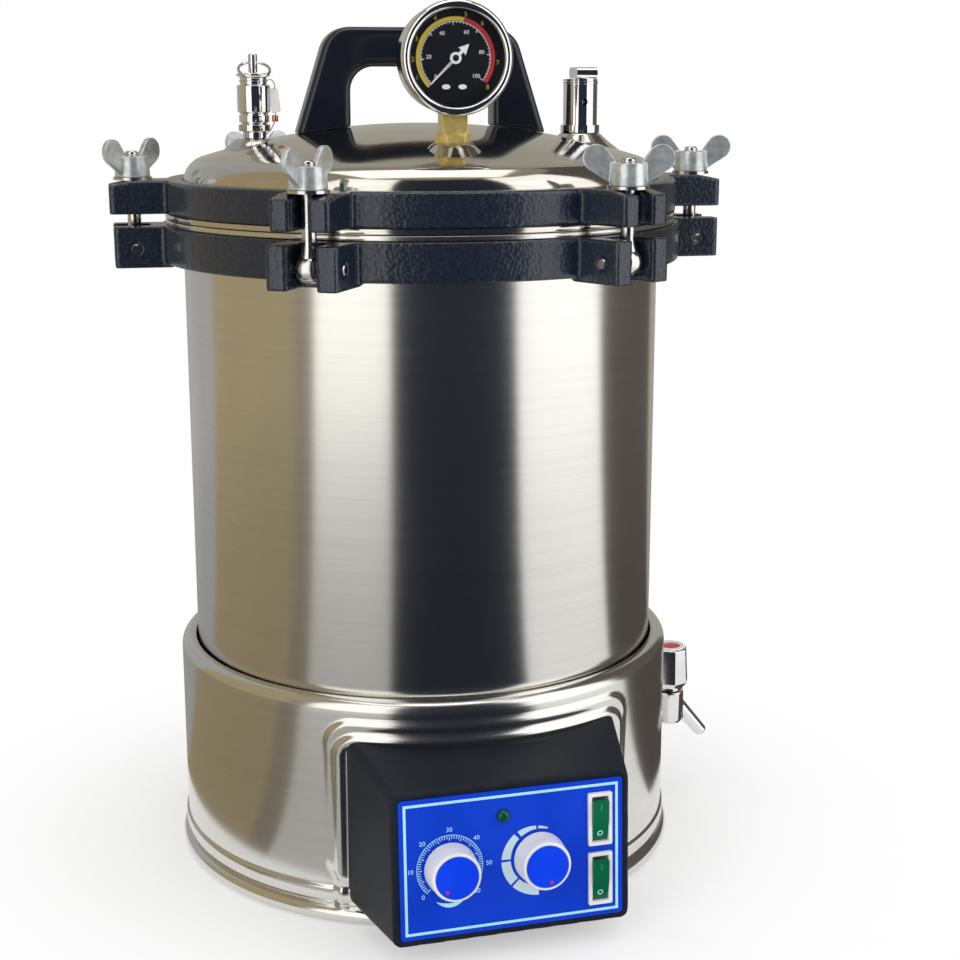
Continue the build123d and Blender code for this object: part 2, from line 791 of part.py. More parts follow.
# The basket: a perforated pail with a rolled rim and two ears for its bail
with BuildPart() as basket:
    basket_inner = basket_radius - basket_wall
    with BuildSketch(Plane.XZ) as pail:
        with BuildLine():
            Polyline(
                (0, basket_bottom_z), (basket_radius, basket_bottom_z),
                (basket_radius, basket_rim_z), (basket_inner, basket_rim_z),
                (basket_inner, basket_bottom_z + basket_wall), (0, basket_bottom_z + basket_wall),
                close=True,
            )
        make_face()
        round_corner(pail, basket_radius, basket_bottom_z, 6)
        round_corner(pail, basket_inner, basket_bottom_z + basket_wall, 6 - basket_wall)
        with Locations((basket_radius + basket_rim / 2, basket_rim_z - basket_rim)):
            Circle(basket_rim)
    revolve(axis=Axis.Z)
    with BuildSketch(Plane.XY.offset(basket_bottom_z)):
        for hole_circle, holes in ((30, 6), (60, 12), (90, 18)):
            with PolarLocations(hole_circle, holes):
                Circle(basket_hole_radius)
    extrude(amount=basket_wall, mode=Mode.SUBTRACT)
    for row in range(2):
        for k in range(8):
            spoke = spoke_plane(k * 45 + 22.5 * row, 0, basket_rim_z - 30 - 18 * row)
            with BuildSketch(Plane(origin=spoke.origin, x_dir=spoke.y_dir, z_dir=spoke.x_dir)):
                Circle(basket_hole_radius)
            extrude(amount=basket_radius + basket_rim, mode=Mode.SUBTRACT)
    for side in (-1, 1):
        ear_plane = Plane(
            origin=(side * (basket_radius - ear_thickness), 0, 0), x_dir=(0, side, 0),
            z_dir=(side, 0, 0),
        )
        with BuildSketch(ear_plane):
            with Locations((0, basket_rim_z - 6)):
                Rectangle(ear_width, ear_rise + 6, align=(Align.CENTER, Align.MIN))
        extrude(amount=ear_thickness)
        with BuildSketch(ear_plane):
            with Locations((0, bail_z)):
                Circle(bail_pin_radius + running_gap)
        extrude(amount=ear_thickness, mode=Mode.SUBTRACT)
save(basket.part, "basket")

bail_radius = basket_radius - ear_thickness - bail_ear_gap - bail_wire
with BuildPart() as basket_bail:
    with BuildLine(Plane.XY.offset(bail_z)) as bail_route:
        Line((-bail_radius, 1.3 * bail_wire), (-bail_radius, 0))
        CenterArc((0, 0), bail_radius, 180, 180)
        Line((bail_radius, 0), (bail_radius, 1.3 * bail_wire))
    with BuildSketch(Plane(origin=bail_route.line @ 0, z_dir=bail_route.line % 0)):
        Circle(bail_wire)
    sweep(path=bail_route.line)
    for side in (-1, 1):
        with BuildSketch(Plane(origin=(side * bail_radius, 0, bail_z), z_dir=(side, 0, 0))):
            Circle(bail_pin_radius)
        extrude(amount=ear_thickness + bail_ear_gap + 2.2 * bail_wire)
save(basket_bail.part, "basket_bail")

# Drain: a bent pipe from the pot's floor to the tap on the right of the base
drain_plane = Plane(origin=(0, 0, 0), x_dir=base_plane.x_dir, z_dir=box_out)
with BuildPart() as drain_pipe:
    tap_tail_inner = skirt_radius - skirt_sheet - tap_nut_thickness - 4
    with BuildLine(drain_plane) as drain_route:
        FilletPolyline(
            (drain_circle, pot_floor_top), (drain_circle, drain_z), (tap_tail_inner, drain_z),
            radius=drain_bend,
        )
    with BuildSketch(Plane(origin=drain_route.line @ 0, z_dir=drain_route.line % 0)):
        Circle(drain_pipe_radius)
        Circle(drain_pipe_bore, mode=Mode.SUBTRACT)
    sweep(path=drain_route.line)
save(drain_pipe.part, "drain_pipe")

tap_side = Plane(origin=(0, 0, 0), x_dir=base_plane.y_dir, z_dir=base_plane.x_dir)
tap_spot = base_plane.x_dir * tap_reach
with BuildPart() as tap_body:
    with BuildSketch(tap_side.offset(tap_tail_inner)):
        with Locations((0, drain_z)):
            Circle(tap_tail_radius)
    extrude(amount=tap_reach - tap_tail_inner)
    with BuildSketch(tap_side.offset(skirt_radius + fixed_gap)):
        with Locations((0, drain_z)):
            RegularPolygon(tap_collar_radius, 6)
    extrude(amount=tap_collar_thickness)
    tap_nut_face = sqrt((skirt_radius - skirt_sheet) ** 2 - tap_collar_radius ** 2) - fixed_gap
    with BuildSketch(tap_side.offset(tap_nut_face - tap_nut_thickness)):
        with Locations((0, drain_z)):
            RegularPolygon(tap_collar_radius, 6)
    extrude(amount=tap_nut_thickness)
    with BuildSketch(Plane.XY.offset(tap_body_bottom_z)):
        with Locations(tap_spot):
            Circle(tap_body_radius)
    extrude(amount=tap_body_top_z - tap_body_bottom_z)
    chamfer(tap_body.edges().filter_by(GeomType.CIRCLE).group_by(Axis.Z)[0], 2)
    spout_start = tap_spot + Vector(0, 0, tap_body_top_z - spout_drop)
    spout_way = (base_plane.x_dir * spout_reach - Vector(0, 0, spout_fall)).normalized()
    spout_long = hypot(spout_reach, spout_fall)
    spout_plane = Plane(origin=spout_start, x_dir=base_plane.y_dir, z_dir=spout_way)
    with BuildSketch(spout_plane):
        Circle(spout_radius)
    with BuildSketch(spout_plane.offset(spout_long)):
        Ellipse(spout_radius * 1.05, spout_radius * 0.72)
    loft()
    with BuildSketch(spout_plane.offset(spout_long)):
        Circle(spout_bore)
    extrude(amount=-spout_long, mode=Mode.SUBTRACT)
    with BuildSketch(tap_side.offset(tap_tail_inner)):
        with Locations((0, drain_z)):
            Circle(drain_pipe_bore)
    extrude(amount=tap_reach - tap_tail_inner, mode=Mode.SUBTRACT)
    with BuildSketch(Plane.XY.offset(tap_body_top_z)):
        with Locations(tap_spot):
            Circle(tap_stem_radius + running_gap)
    extrude(amount=-tap_stem_depth - 1, mode=Mode.SUBTRACT)
save(tap_body.part, "tap_body")

with BuildPart() as tap_knob:
    knob_foot_z = tap_body_top_z + tap_knob_gap
    with BuildSketch(Plane.XY.offset(knob_foot_z)):
        with Locations(tap_spot):
            RegularPolygon(tap_knob_foot_radius, 8)
    with BuildSketch(Plane.XY.offset(knob_foot_z + tap_knob_foot_height)):
        with Locations(tap_spot):
            RegularPolygon(tap_knob_radius, 8)
    loft()
    with BuildSketch(Plane.XY.offset(knob_foot_z + tap_knob_foot_height)):
        with Locations(tap_spot):
            RegularPolygon(tap_knob_radius, 8)
    extrude(amount=tap_knob_height - tap_knob_foot_height, taper=tap_knob_taper)
    chamfer(tap_knob.faces().sort_by(Axis.Z)[-1].edges(), 1.6)
    with BuildSketch(Plane.XY.offset(knob_foot_z + tap_knob_height)):
        with Locations(tap_spot):
            Circle(button_radius + fixed_gap)
    extrude(amount=-button_recess, mode=Mode.SUBTRACT)
    with BuildSketch(Plane.XY.offset(knob_foot_z)):
        with Locations(tap_spot):
            Circle(tap_stem_radius)
    extrude(amount=-tap_knob_gap - tap_stem_depth)
save(tap_knob.part, "tap_knob")

# The lid: a drawn dome with a turned-out rim, welded sockets for its three fittings, and holes for
# the handle's screws
socket_angles = {"safety": 180, "gauge": -90, "release": 0}
socket_holes = {
    "safety": safety_thread_radius, "gauge": fitting_thread_radius, "release": release_thread_radius
}
crown_touch = crown_radius * sin(radians(crown_angle))
inner_crown = crown_radius - dome_sheet
inner_touch = inner_crown * sin(radians(crown_angle))
with BuildPart() as lid:
    gasket_seat_z = pot_top_z + gasket_thickness
    gasket_seat_radius = gasket_inner + gasket_width + rim_gap
    inner_wall = dome_radius - dome_sheet
    with BuildSketch(Plane.XZ):
        with BuildLine():
            Polyline(
                (inner_wall, knuckle_z), (inner_wall, gasket_seat_z),
                (gasket_seat_radius, gasket_seat_z), (gasket_seat_radius, rim_bottom_z),
                (flange_radius, rim_bottom_z), (flange_radius, rim_top_z),
                (dome_radius, rim_top_z), (dome_radius, knuckle_z),
            )
            half_turn = radians((90 - crown_angle) / 2)
            ThreePointArc(
                (dome_radius, knuckle_z),
                (
                    knuckle_r + knuckle_radius * cos(half_turn),
                    knuckle_z + knuckle_radius * sin(half_turn),
                ),
                (crown_touch, crown_height(crown_touch)),
            )
            ThreePointArc(
                (crown_touch, crown_height(crown_touch)),
                (crown_touch / 2, crown_height(crown_touch / 2)),
                (0, crest_z),
            )
            Line((0, crest_z), (0, crest_z - dome_sheet))
            ThreePointArc(
                (0, crest_z - dome_sheet),
                (inner_touch / 2, crown_height(inner_touch / 2, inside=True)),
                (inner_touch, crown_height(inner_touch, inside=True)),
            )
            ThreePointArc(
                (inner_touch, crown_height(inner_touch, inside=True)),
                (
                    knuckle_r + (knuckle_radius - dome_sheet) * cos(half_turn),
                    knuckle_z + (knuckle_radius - dome_sheet) * sin(half_turn),
                ),
                (inner_wall, knuckle_z),
            )
        make_face()
    revolve(axis=Axis.Z)
    for fitting, angle in socket_angles.items():
        with BuildSketch(spoke_plane(angle, fitting_circle, boss_top_z[fitting])):
            Circle(boss_radius)
        extrude(amount=-boss_depth)
    for fitting, angle in socket_angles.items():
        with BuildSketch(spoke_plane(angle, fitting_circle, boss_top_z[fitting])):
            Circle(socket_holes[fitting] + fixed_gap)
        extrude(amount=-2 * boss_depth, mode=Mode.SUBTRACT)
    with BuildSketch(Plane.XY.offset(crest_z)):
        with Locations((-handle_screw_at, 0), (handle_screw_at, 0)):
            Circle(handle_screw_radius + fixed_gap)
    extrude(amount=-dome_rise / 2, mode=Mode.SUBTRACT)
save(lid.part, "lid")

with BuildPart() as lid_gasket:
    with BuildSketch(Plane.XY.offset(pot_top_z)):
        Circle(gasket_inner + gasket_width)
        Circle(gasket_inner, mode=Mode.SUBTRACT)
    extrude(amount=gasket_thickness)
save(lid_gasket.part, "lid_gasket")

# The upper clamp ring presses the lid's rim down; its forked lugs take the swing bolts
upper_slot_start = bolt_circle - rod_radius - slot_end_gap
with BuildPart() as upper_clamp_ring:
    with BuildSketch(Plane.XY.offset(rim_top_z)):
        Circle(upper_ring_outer)
        Circle(dome_radius + ring_fit, mode=Mode.SUBTRACT)
    extrude(amount=upper_ring_height)
    fillet(upper_clamp_ring.edges().group_by(Axis.Z)[-1].sort_by(SortBy.LENGTH)[-1], ring_edge)
    with BuildSketch(Plane.XY.offset(rim_top_z)):
        with PolarLocations(0, lug_count):
            lug_outline(
                upper_lug_reach, upper_lug_width, upper_lug_slot,
                upper_ring_outer - 2 * ring_edge, upper_slot_start,
            )
    extrude(amount=upper_ring_height)
    fillet(
        upper_clamp_ring.edges().filter_by(Axis.Z).filter_by(
            lambda e: hypot(e.center().X, e.center().Y) > bolt_circle + rod_radius
        ),
        ring_edge,
    )
    for k in range(lug_count):
        spoke = spoke_plane(k * lug_step)
        with BuildSketch(Plane(origin=(0, 0, 0), x_dir=spoke.x_dir, z_dir=-spoke.y_dir)):
            reach = upper_lug_reach + 1
            drop = upper_lug_crown * (reach - bolt_circle) / (upper_lug_reach - bolt_circle)
            with BuildLine():
                Polyline(
                    (bolt_circle, upper_ring_top_z), (reach, upper_ring_top_z - drop),
                    (reach, upper_ring_top_z + 1), (bolt_circle, upper_ring_top_z + 1), close=True,
                )
            make_face()
        extrude(amount=upper_lug_width, both=True, mode=Mode.SUBTRACT)
save(upper_clamp_ring.part, "upper_clamp_ring")

# One swing bolt with its washer and wing nut, made on the +X spoke and turned round the pot
with BuildPart() as eye_bolt:
    pin_axis = Plane(origin=(bolt_circle, 0, pin_z), x_dir=(1, 0, 0), z_dir=(0, -1, 0))
    with BuildSketch(pin_axis):
        Circle(eye_radius)
    extrude(amount=eye_width / 2, both=True)
    fillet(eye_bolt.edges().filter_by(GeomType.CIRCLE), 1.2)
    with BuildSketch(Plane.XY.offset(pin_z)):
        with Locations((bolt_circle, 0)):
            Circle(rod_radius)
    extrude(amount=rod_top_z - pin_z)
    chamfer(eye_bolt.edges().group_by(Axis.Z)[-1], 0.8)
    with BuildSketch(pin_axis):
        Circle(pin_radius + running_gap)
    extrude(amount=eye_width, both=True, mode=Mode.SUBTRACT)

with BuildPart() as washer:
    with BuildSketch(Plane.XY.offset(upper_ring_top_z)):
        with Locations((bolt_circle, 0)):
            Circle(washer_radius)
            Circle(rod_radius + washer_gap, mode=Mode.SUBTRACT)
    extrude(amount=washer_thickness)

with BuildPart() as wing_nut:
    with BuildSketch(Plane.XY.offset(washer_top_z)):
        with Locations((bolt_circle, 0)):
            Circle(nut_foot_radius)
    with BuildSketch(Plane.XY.offset(washer_top_z + nut_height)):
        with Locations((bolt_circle, 0)):
            Circle(nut_crown_radius)
    loft()
    for side in (-1, 1):
        wing_plane = Plane(
            origin=(bolt_circle, 0, washer_top_z), x_dir=(0, 1, 0), z_dir=(1, 0, 0)
        )
        lobe_out = wing_reach - wing_lobe_radius
        with BuildSketch(wing_plane):
            with Locations((side * lobe_out, wing_tip_rise - wing_lobe_radius)):
                Circle(wing_lobe_radius)
            with Locations((side * (nut_crown_radius - 1.5), wing_root_radius + 1)):
                Circle(wing_root_radius)
            make_hull()
        extrude(amount=wing_thickness / 2, both=True)
    with BuildSketch(Plane.XY.offset(washer_top_z)):
        with Locations((bolt_circle, 0)):
            Circle(rod_radius + running_gap)
    extrude(amount=wing_tip_rise, mode=Mode.SUBTRACT)

# Each nut stopped at its own angle when it was tightened
for k in range(lug_count):
    save(eye_bolt.part.rotate(Axis.Z, k * lug_step), f"eye_bolt_{k + 1}")
    save(washer.part.rotate(Axis.Z, k * lug_step), f"washer_{k + 1}")
    turned_nut = wing_nut.part.rotate(Axis((bolt_circle, 0, 0), (0, 0, 1)), wing_turns[k])
    save(turned_nut.rotate(Axis.Z, k * lug_step), f"wing_nut_{k + 1}")

# The handle: one arch across the lid, its feet cut to the dome, held by screws from below
with BuildPart() as handle:
    with BuildSketch(Plane.XZ) as arch:
        foot_low_z = crown_height(handle_foot_half) - 4
        spread = (handle_foot_half - handle_top_half) / (handle_top_z - handle_foot_z)
        foot_low_half = handle_foot_half + spread * (handle_foot_z - foot_low_z)
        with BuildLine():
            Polyline(
                (-foot_low_half, foot_low_z), (foot_low_half, foot_low_z),
                (handle_top_half, handle_top_z), (-handle_top_half, handle_top_z), close=True,
            )
        make_face()
        round_corner(arch, handle_top_half, handle_top_z, handle_outer_corner)
        round_corner(arch, -handle_top_half, handle_top_z, handle_outer_corner)
        with BuildLine():
            Polyline(
                (-handle_inner_half, foot_low_z - 1), (handle_inner_half, foot_low_z - 1),
                (handle_inner_half, handle_inner_top_z), (-handle_inner_half, handle_inner_top_z),
                close=True,
            )
        make_face(mode=Mode.SUBTRACT)
        round_corner(arch, handle_inner_half, handle_inner_top_z, handle_inner_corner)
        round_corner(arch, -handle_inner_half, handle_inner_top_z, handle_inner_corner)
    extrude(amount=handle_depth / 2, both=True)
    faces_out = handle.faces().filter_by(Axis.Y).sort_by(Axis.Y)
    fillet(
        (faces_out[0].edges() + faces_out[-1].edges()).filter_by(
            lambda e: e.center().Z > foot_low_z + 1
        ),
        handle_edge,
    )
    with Locations((0, 0, crown_centre_z)):
        Sphere(crown_radius + handle_seat_gap, mode=Mode.SUBTRACT)
    screw_seat_z = crown_height(handle_screw_at + handle_screw_head_radius, inside=True) - fixed_gap
    screw_end_z = screw_seat_z + handle_screw_bite
    with BuildSketch(Plane.XY.offset(screw_seat_z)):
        with Locations((-handle_screw_at, 0), (handle_screw_at, 0)):
            Circle(handle_screw_radius + fixed_gap)
    extrude(amount=handle_screw_bite + 1, mode=Mode.SUBTRACT)
save(handle.part, "handle")

with BuildPart() as handle_screws:
    with BuildSketch(Plane.XY.offset(screw_seat_z)):
        with Locations((-handle_screw_at, 0), (handle_screw_at, 0)):
            RegularPolygon(handle_screw_head_radius, 6)
    extrude(amount=-handle_screw_head)
    with BuildSketch(Plane.XY.offset(screw_seat_z)):
        with Locations((-handle_screw_at, 0), (handle_screw_at, 0)):
            Circle(handle_screw_radius)
    extrude(amount=handle_screw_bite)
save(handle_screws.part, "handle_screws")


# Pressure gauge, facing the front over the box
def gauge_plane(y):
    """A plane across the gauge's axis at a distance along Y, facing the front."""
    return Plane(origin=(0, y, gauge_z), x_dir=(1, 0, 0), z_dir=(0, -1, 0))


case_back_y = -fitting_circle + case_back
with BuildPart() as gauge_case:
    with BuildSketch(gauge_plane(case_front_y)):
        Circle(case_radius)
    extrude(amount=-(case_back_y - case_front_y))
    fillet(gauge_case.edges().filter_by(GeomType.CIRCLE).sort_by(Axis.Y)[-1], 2.5)
    with BuildSketch(gauge_plane(case_front_y)):
        Circle(case_radius - case_wall)
    extrude(amount=-(case_back_y - case_front_y - case_wall), mode=Mode.SUBTRACT)
    with BuildSketch(Plane.XY.offset(gauge_z - case_radius - 1)):
        with Locations((0, -fitting_circle)):
            Rectangle(neck_size + 2 * fixed_gap, neck_size + 2 * fixed_gap)
    extrude(amount=case_radius / 3, mode=Mode.SUBTRACT)
save(gauge_case.part, "gauge_case")

with BuildPart() as gauge_bezel:
    with BuildSketch(gauge_plane(bezel_front_y)):
        Circle(bezel_radius)
        Circle(bezel_inner, mode=Mode.SUBTRACT)
    extrude(amount=-bezel_lip)
    with BuildSketch(gauge_plane(case_front_y)):
        Circle(bezel_radius)
        Circle(case_radius + fixed_gap, mode=Mode.SUBTRACT)
    extrude(amount=-(bezel_depth - bezel_lip))
    front_edges = gauge_bezel.edges().filter_by(GeomType.CIRCLE).group_by(Axis.Y)[0]
    fillet(front_edges.sort_by(SortBy.LENGTH)[-1], 1.2)
save(gauge_bezel.part, "gauge_bezel")

with BuildPart() as gauge_glass:
    with BuildSketch(gauge_plane(case_front_y + fixed_gap)):
        Circle(dial_radius)
    extrude(amount=-glass_thickness)
save(gauge_glass.part, "gauge_glass")

with BuildPart() as gauge_dial:
    with BuildSketch(gauge_plane(dial_y)):
        Circle(dial_radius)
        Circle(1 + running_gap, mode=Mode.SUBTRACT)
    extrude(amount=-dial_thickness)
save(gauge_dial.part, "gauge_dial")

pointer_start = 225.0
with BuildPart() as gauge_pointer:
    pointer_y = dial_y - pointer_stand_off
    pointer_plane = Plane(
        origin=(0, pointer_y, gauge_z),
        x_dir=(cos(radians(pointer_start)), 0, sin(radians(pointer_start))),
        z_dir=(0, -1, 0),
    )
    with BuildSketch(pointer_plane):
        with BuildLine():
            Polyline(
                (-pointer_tail, -1.5), (-pointer_tail, 1.5), (0, 0.9), (pointer_length, 0.2),
                (pointer_length, -0.2), (0, -0.9), close=True,
            )
        make_face()
        Circle(pointer_hub)
    extrude(amount=pointer_thickness)
    with BuildSketch(gauge_plane(pointer_y)):
        Circle(1)
    extrude(amount=-pointer_stand_off - dial_thickness - 2)
save(gauge_pointer.part, "gauge_pointer")

# The brass fitting: thread, nut and square neck, carrying the bent pressure tube in the case
with BuildPart() as gauge_fitting:
    socket_top = boss_top_z["gauge"]
    with BuildSketch(Plane.XY.offset(socket_top)):
        with Locations((0, -fitting_circle)):
            Circle(fitting_thread_radius)
    extrude(amount=-fitting_thread_length)
    with BuildSketch(Plane.XY.offset(socket_top)):
        with Locations((0, -fitting_circle)):
            RegularPolygon(gauge_nut_across / 2, 6, major_radius=False)
    extrude(amount=gauge_nut_height)
    chamfer(gauge_fitting.faces().sort_by(Axis.Z)[-1].edges(), 0.6)
    with BuildSketch(Plane.XY.offset(socket_top + gauge_nut_height)):
        with Locations((0, -fitting_circle)):
            Rectangle(neck_size, neck_size)
    extrude(amount=gauge_z - bourdon_radius - socket_top - gauge_nut_height + bourdon_tube)
    movement_y = -fitting_circle + 3
    with BuildLine(gauge_plane(movement_y)) as tube_route:
        CenterArc((0, 0), bourdon_radius, -90, 250)
    with BuildSketch(Plane(origin=tube_route.line @ 0, z_dir=tube_route.line % 0)):
        Circle(bourdon_tube)
    sweep(path=tube_route.line)
save(gauge_fitting.part, "gauge_fitting")


# Spring safety valve on the left socket
with BuildPart() as safety_valve_body:
    safety_seat = boss_top_z["safety"]
    for radius, low, high in (
        (safety_thread_radius, safety_seat - fitting_thread_length, safety_collar_z[0]),
        (safety_collar_radius, safety_collar_z[0], safety_collar_z[1]),
        (safety_body_radius, safety_collar_z[1], safety_body_top_z),
        (safety_neck_radius, safety_body_top_z, safety_neck_top_z),
        (safety_flange_radius, safety_neck_top_z, safety_flange_top_z),
    ):
        with BuildSketch(spoke_plane(180, fitting_circle, low)):
            Circle(radius)
        extrude(amount=high - low)
    for radius, low, high in (
        (safety_chamber_radius, safety_chamber_z[0], safety_chamber_z[1]),
        (safety_port_radius, safety_seat - fitting_thread_length, safety_chamber_z[0]),
        (safety_stem_radius + running_gap, safety_chamber_z[1], safety_flange_top_z),
    ):
        with BuildSketch(spoke_plane(180, fitting_circle, low)):
            Circle(radius)
        extrude(amount=high - low, mode=Mode.SUBTRACT)
save(safety_valve_body.part, "safety_valve_body")

with BuildPart() as safety_valve_stem:
    disc_bottom = safety_chamber_z[0]
    disc_top = disc_bottom + safety_disc_thickness
    for radius, low, high in (
        (safety_disc_radius, disc_bottom, disc_top),
        (safety_stem_radius, disc_top, safety_post_z[0]),
        (safety_post_radius, safety_post_z[0], safety_post_z[1]),
    ):
        with BuildSketch(spoke_plane(180, fitting_circle, low)):
            Circle(radius)
        extrude(amount=high - low)
    fillet(safety_valve_stem.edges().group_by(Axis.Z)[-1], 0.8)
    with BuildSketch(Plane(origin=(-fitting_circle, 0, safety_eye_z), z_dir=(1, 0, 0))):
        Circle(safety_eye_radius)
    extrude(amount=safety_post_radius + 1, both=True, mode=Mode.SUBTRACT)
save(safety_valve_stem.part, "safety_valve_stem")

with BuildPart() as safety_valve_spring:
    spring_low = disc_top + safety_spring_wire + fixed_gap
    spring_high = safety_chamber_z[1] - safety_spring_wire - fixed_gap
    with BuildLine(spoke_plane(180, fitting_circle, spring_low)) as coil:
        Helix(
            pitch=(spring_high - spring_low) / safety_spring_turns,
            height=spring_high - spring_low, radius=safety_spring_radius,
        )
    with BuildSketch(Plane(origin=coil.line @ 0, z_dir=coil.line % 0)):
        Circle(safety_spring_wire)
    sweep(path=coil.line, is_frenet=True)
save(safety_valve_spring.part, "safety_valve_spring")

# The pull ring hangs through the post's eye and slopes down towards the front
ring_slope = radians(pull_ring_slope)
ring_way = Vector(0, -cos(ring_slope), -sin(ring_slope))
eye_point = Vector(-fitting_circle, 0, safety_eye_z)
with BuildPart() as safety_pull_ring:
    ring_plane = Plane(
        origin=eye_point + ring_way * pull_ring_radius, x_dir=(1, 0, 0),
        z_dir=Vector(1, 0, 0).cross(ring_way),
    )
    with BuildLine(ring_plane) as ring_route:
        CenterArc((0, 0), pull_ring_radius, 0, 360)
    with BuildSketch(Plane(origin=ring_route.line @ 0, z_dir=ring_route.line % 0)):
        Circle(pull_ring_wire)
    sweep(path=ring_route.line)
save(safety_pull_ring.part, "safety_pull_ring")

# Release valve on the right socket, with a lever that flips up on a pin
lever_z = release_body_top_z + lever_pivot_rise
with BuildPart() as release_valve_body:
    release_seat = boss_top_z["release"]
    for radius, low, high in (
        (release_thread_radius, release_seat - release_stub, release_seat),
        (release_base_radius, release_seat, release_base_top_z),
        (release_body_radius, release_base_top_z, release_body_top_z),
    ):
        with BuildSketch(spoke_plane(0, fitting_circle, low)):
            Circle(radius)
        extrude(amount=high - low)
    with BuildSketch(Plane(origin=(fitting_circle, 0, lever_z), x_dir=(0, 1, 0), z_dir=(1, 0, 0))):
        Circle(lever_height / 2 - 0.4)
        with Locations((0, -lever_pivot_rise / 2)):
            Rectangle(lever_height - 0.8, lever_pivot_rise)
    extrude(amount=lever_tongue / 2, both=True)
    with BuildSketch(Plane(origin=(fitting_circle, 0, lever_z), z_dir=(1, 0, 0))):
        Circle(lever_pin_radius)
    extrude(amount=lever_width / 2, both=True)
    with BuildSketch(spoke_plane(0, fitting_circle, release_seat - release_stub)):
        Circle(release_bore)
    extrude(amount=release_hole_z + release_bore - release_seat + release_stub, mode=Mode.SUBTRACT)
    with BuildSketch(Plane(origin=(fitting_circle, 0, release_hole_z), z_dir=(0, -1, 0))):
        Circle(release_hole_radius)
    extrude(amount=release_body_radius + 1, mode=Mode.SUBTRACT)
save(release_valve_body.part, "release_valve_body")

with BuildPart() as release_valve_lever:
    lever_plane = Plane(origin=(fitting_circle, 0, lever_z), x_dir=(0, -1, 0), z_dir=(-1, 0, 0))
    with BuildSketch(lever_plane):
        with Locations(((lever_length - lever_height) / 2, 0)):
            SlotOverall(lever_length, lever_height)
    extrude(amount=lever_width / 2, both=True)
    with BuildSketch(lever_plane):
        Circle(lever_height)
    extrude(amount=lever_slot / 2, both=True, mode=Mode.SUBTRACT)
    with BuildSketch(lever_plane):
        Circle(lever_pin_radius + running_gap)
    extrude(amount=lever_width, both=True, mode=Mode.SUBTRACT)
save(release_valve_lever.part, "release_valve_lever")

# The cable gland at the back of the skirt
back_side = Plane(
    origin=base_plane.y_dir * skirt_radius + Vector(0, 0, gland_z),
    x_dir=-base_plane.x_dir,
    z_dir=base_plane.y_dir,
)
with BuildPart() as cable_gland:
    with BuildSketch(back_side.offset(-skirt_sheet - gland_inside)):
        Circle(gland_radius)
    extrude(amount=skirt_sheet + gland_inside)
    with BuildSketch(back_side.offset(fixed_gap)):
        RegularPolygon(gland_cap_radius, 6)
    extrude(amount=gland_outside * 0.35)
    with BuildSketch(back_side):
        Circle(gland_radius)
    extrude(amount=gland_outside)
    fillet(cable_gland.edges().filter_by(GeomType.CIRCLE).sort_by(Axis.Y)[-1], 3)
    nut_face = sqrt((skirt_radius - skirt_sheet) ** 2 - gland_cap_radius ** 2) - fixed_gap
    with BuildSketch(back_side.offset(nut_face - skirt_radius)):
        RegularPolygon(gland_cap_radius, 6)
    extrude(amount=-gland_inside / 2)
    with BuildSketch(back_side.offset(gland_outside)):
        Circle(gland_bore)
    extrude(amount=-gland_outside - gland_inside - 2, mode=Mode.SUBTRACT)
save(cable_gland.part, "cable_gland")
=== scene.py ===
# %% [markdown]
# # A portable steam sterilizer, dressed for its portrait
#
# The object is a stainless pot on a round heater base, with a domed lid held down by six swing
# bolts and a control box on its front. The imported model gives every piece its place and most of
# its sizes, so this lesson only makes surfaces: turned shells, castings, printed marks, finishes.

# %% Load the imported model
from math import atan2, cos, degrees, exp, hypot, pi, radians, sin, sqrt

import bmesh
import bpy
from mathutils import Matrix, Vector
from mathutils.bvhtree import BVHTree


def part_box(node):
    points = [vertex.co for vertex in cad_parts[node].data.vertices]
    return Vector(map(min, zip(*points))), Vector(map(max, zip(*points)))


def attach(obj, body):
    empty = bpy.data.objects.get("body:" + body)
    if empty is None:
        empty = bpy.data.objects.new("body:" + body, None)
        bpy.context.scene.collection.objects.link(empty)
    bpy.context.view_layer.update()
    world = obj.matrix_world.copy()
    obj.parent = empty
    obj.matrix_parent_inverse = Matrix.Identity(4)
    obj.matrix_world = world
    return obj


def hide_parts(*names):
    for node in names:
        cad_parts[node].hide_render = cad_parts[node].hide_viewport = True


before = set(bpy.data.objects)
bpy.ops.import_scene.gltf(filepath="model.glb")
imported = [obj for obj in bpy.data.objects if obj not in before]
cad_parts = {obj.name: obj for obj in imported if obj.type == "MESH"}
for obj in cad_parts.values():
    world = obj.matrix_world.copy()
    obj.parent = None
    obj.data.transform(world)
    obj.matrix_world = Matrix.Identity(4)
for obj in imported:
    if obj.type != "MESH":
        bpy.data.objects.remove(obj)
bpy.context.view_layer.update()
MM = 0.001
MICRON = 0.000001
WHITE = (1.0, 1.0, 1.0, 1.0)
scene = bpy.context.scene

# %% [markdown]
# ## The camera
#
# The photograph was taken a little over a metre away, from the height of the lid and slightly to
# the left. The lens and the place were worked out from the ellipses of the two clamp rings and
# the edges of the control box.

# %% Set up the camera
view_turn = radians(-12.2)
camera_data = bpy.data.cameras.new("portrait_camera")
camera_data.lens = 64.63
camera_data.sensor_width = 36.0
camera = bpy.data.objects.new("portrait_camera", camera_data)
camera.location = (-0.18714, -1.03380, 0.46808)
camera.rotation_euler = (radians(77.03), 0.0, view_turn)
scene.collection.objects.link(camera)
scene.camera = camera
scene.view_settings.view_transform = "Standard"

# %% [markdown]
# ## Angles and node arithmetic
#
# Nearly everything here is round, so points at an angle come first. Wrapping a node's socket in a
# class that overloads the operators lets a shader's formula be written as one Python line.


# %% Points round a centre
def turns(count):
    """Evenly spaced angles of a full turn, in radians."""
    return [2 * pi * k / count for k in range(count)]


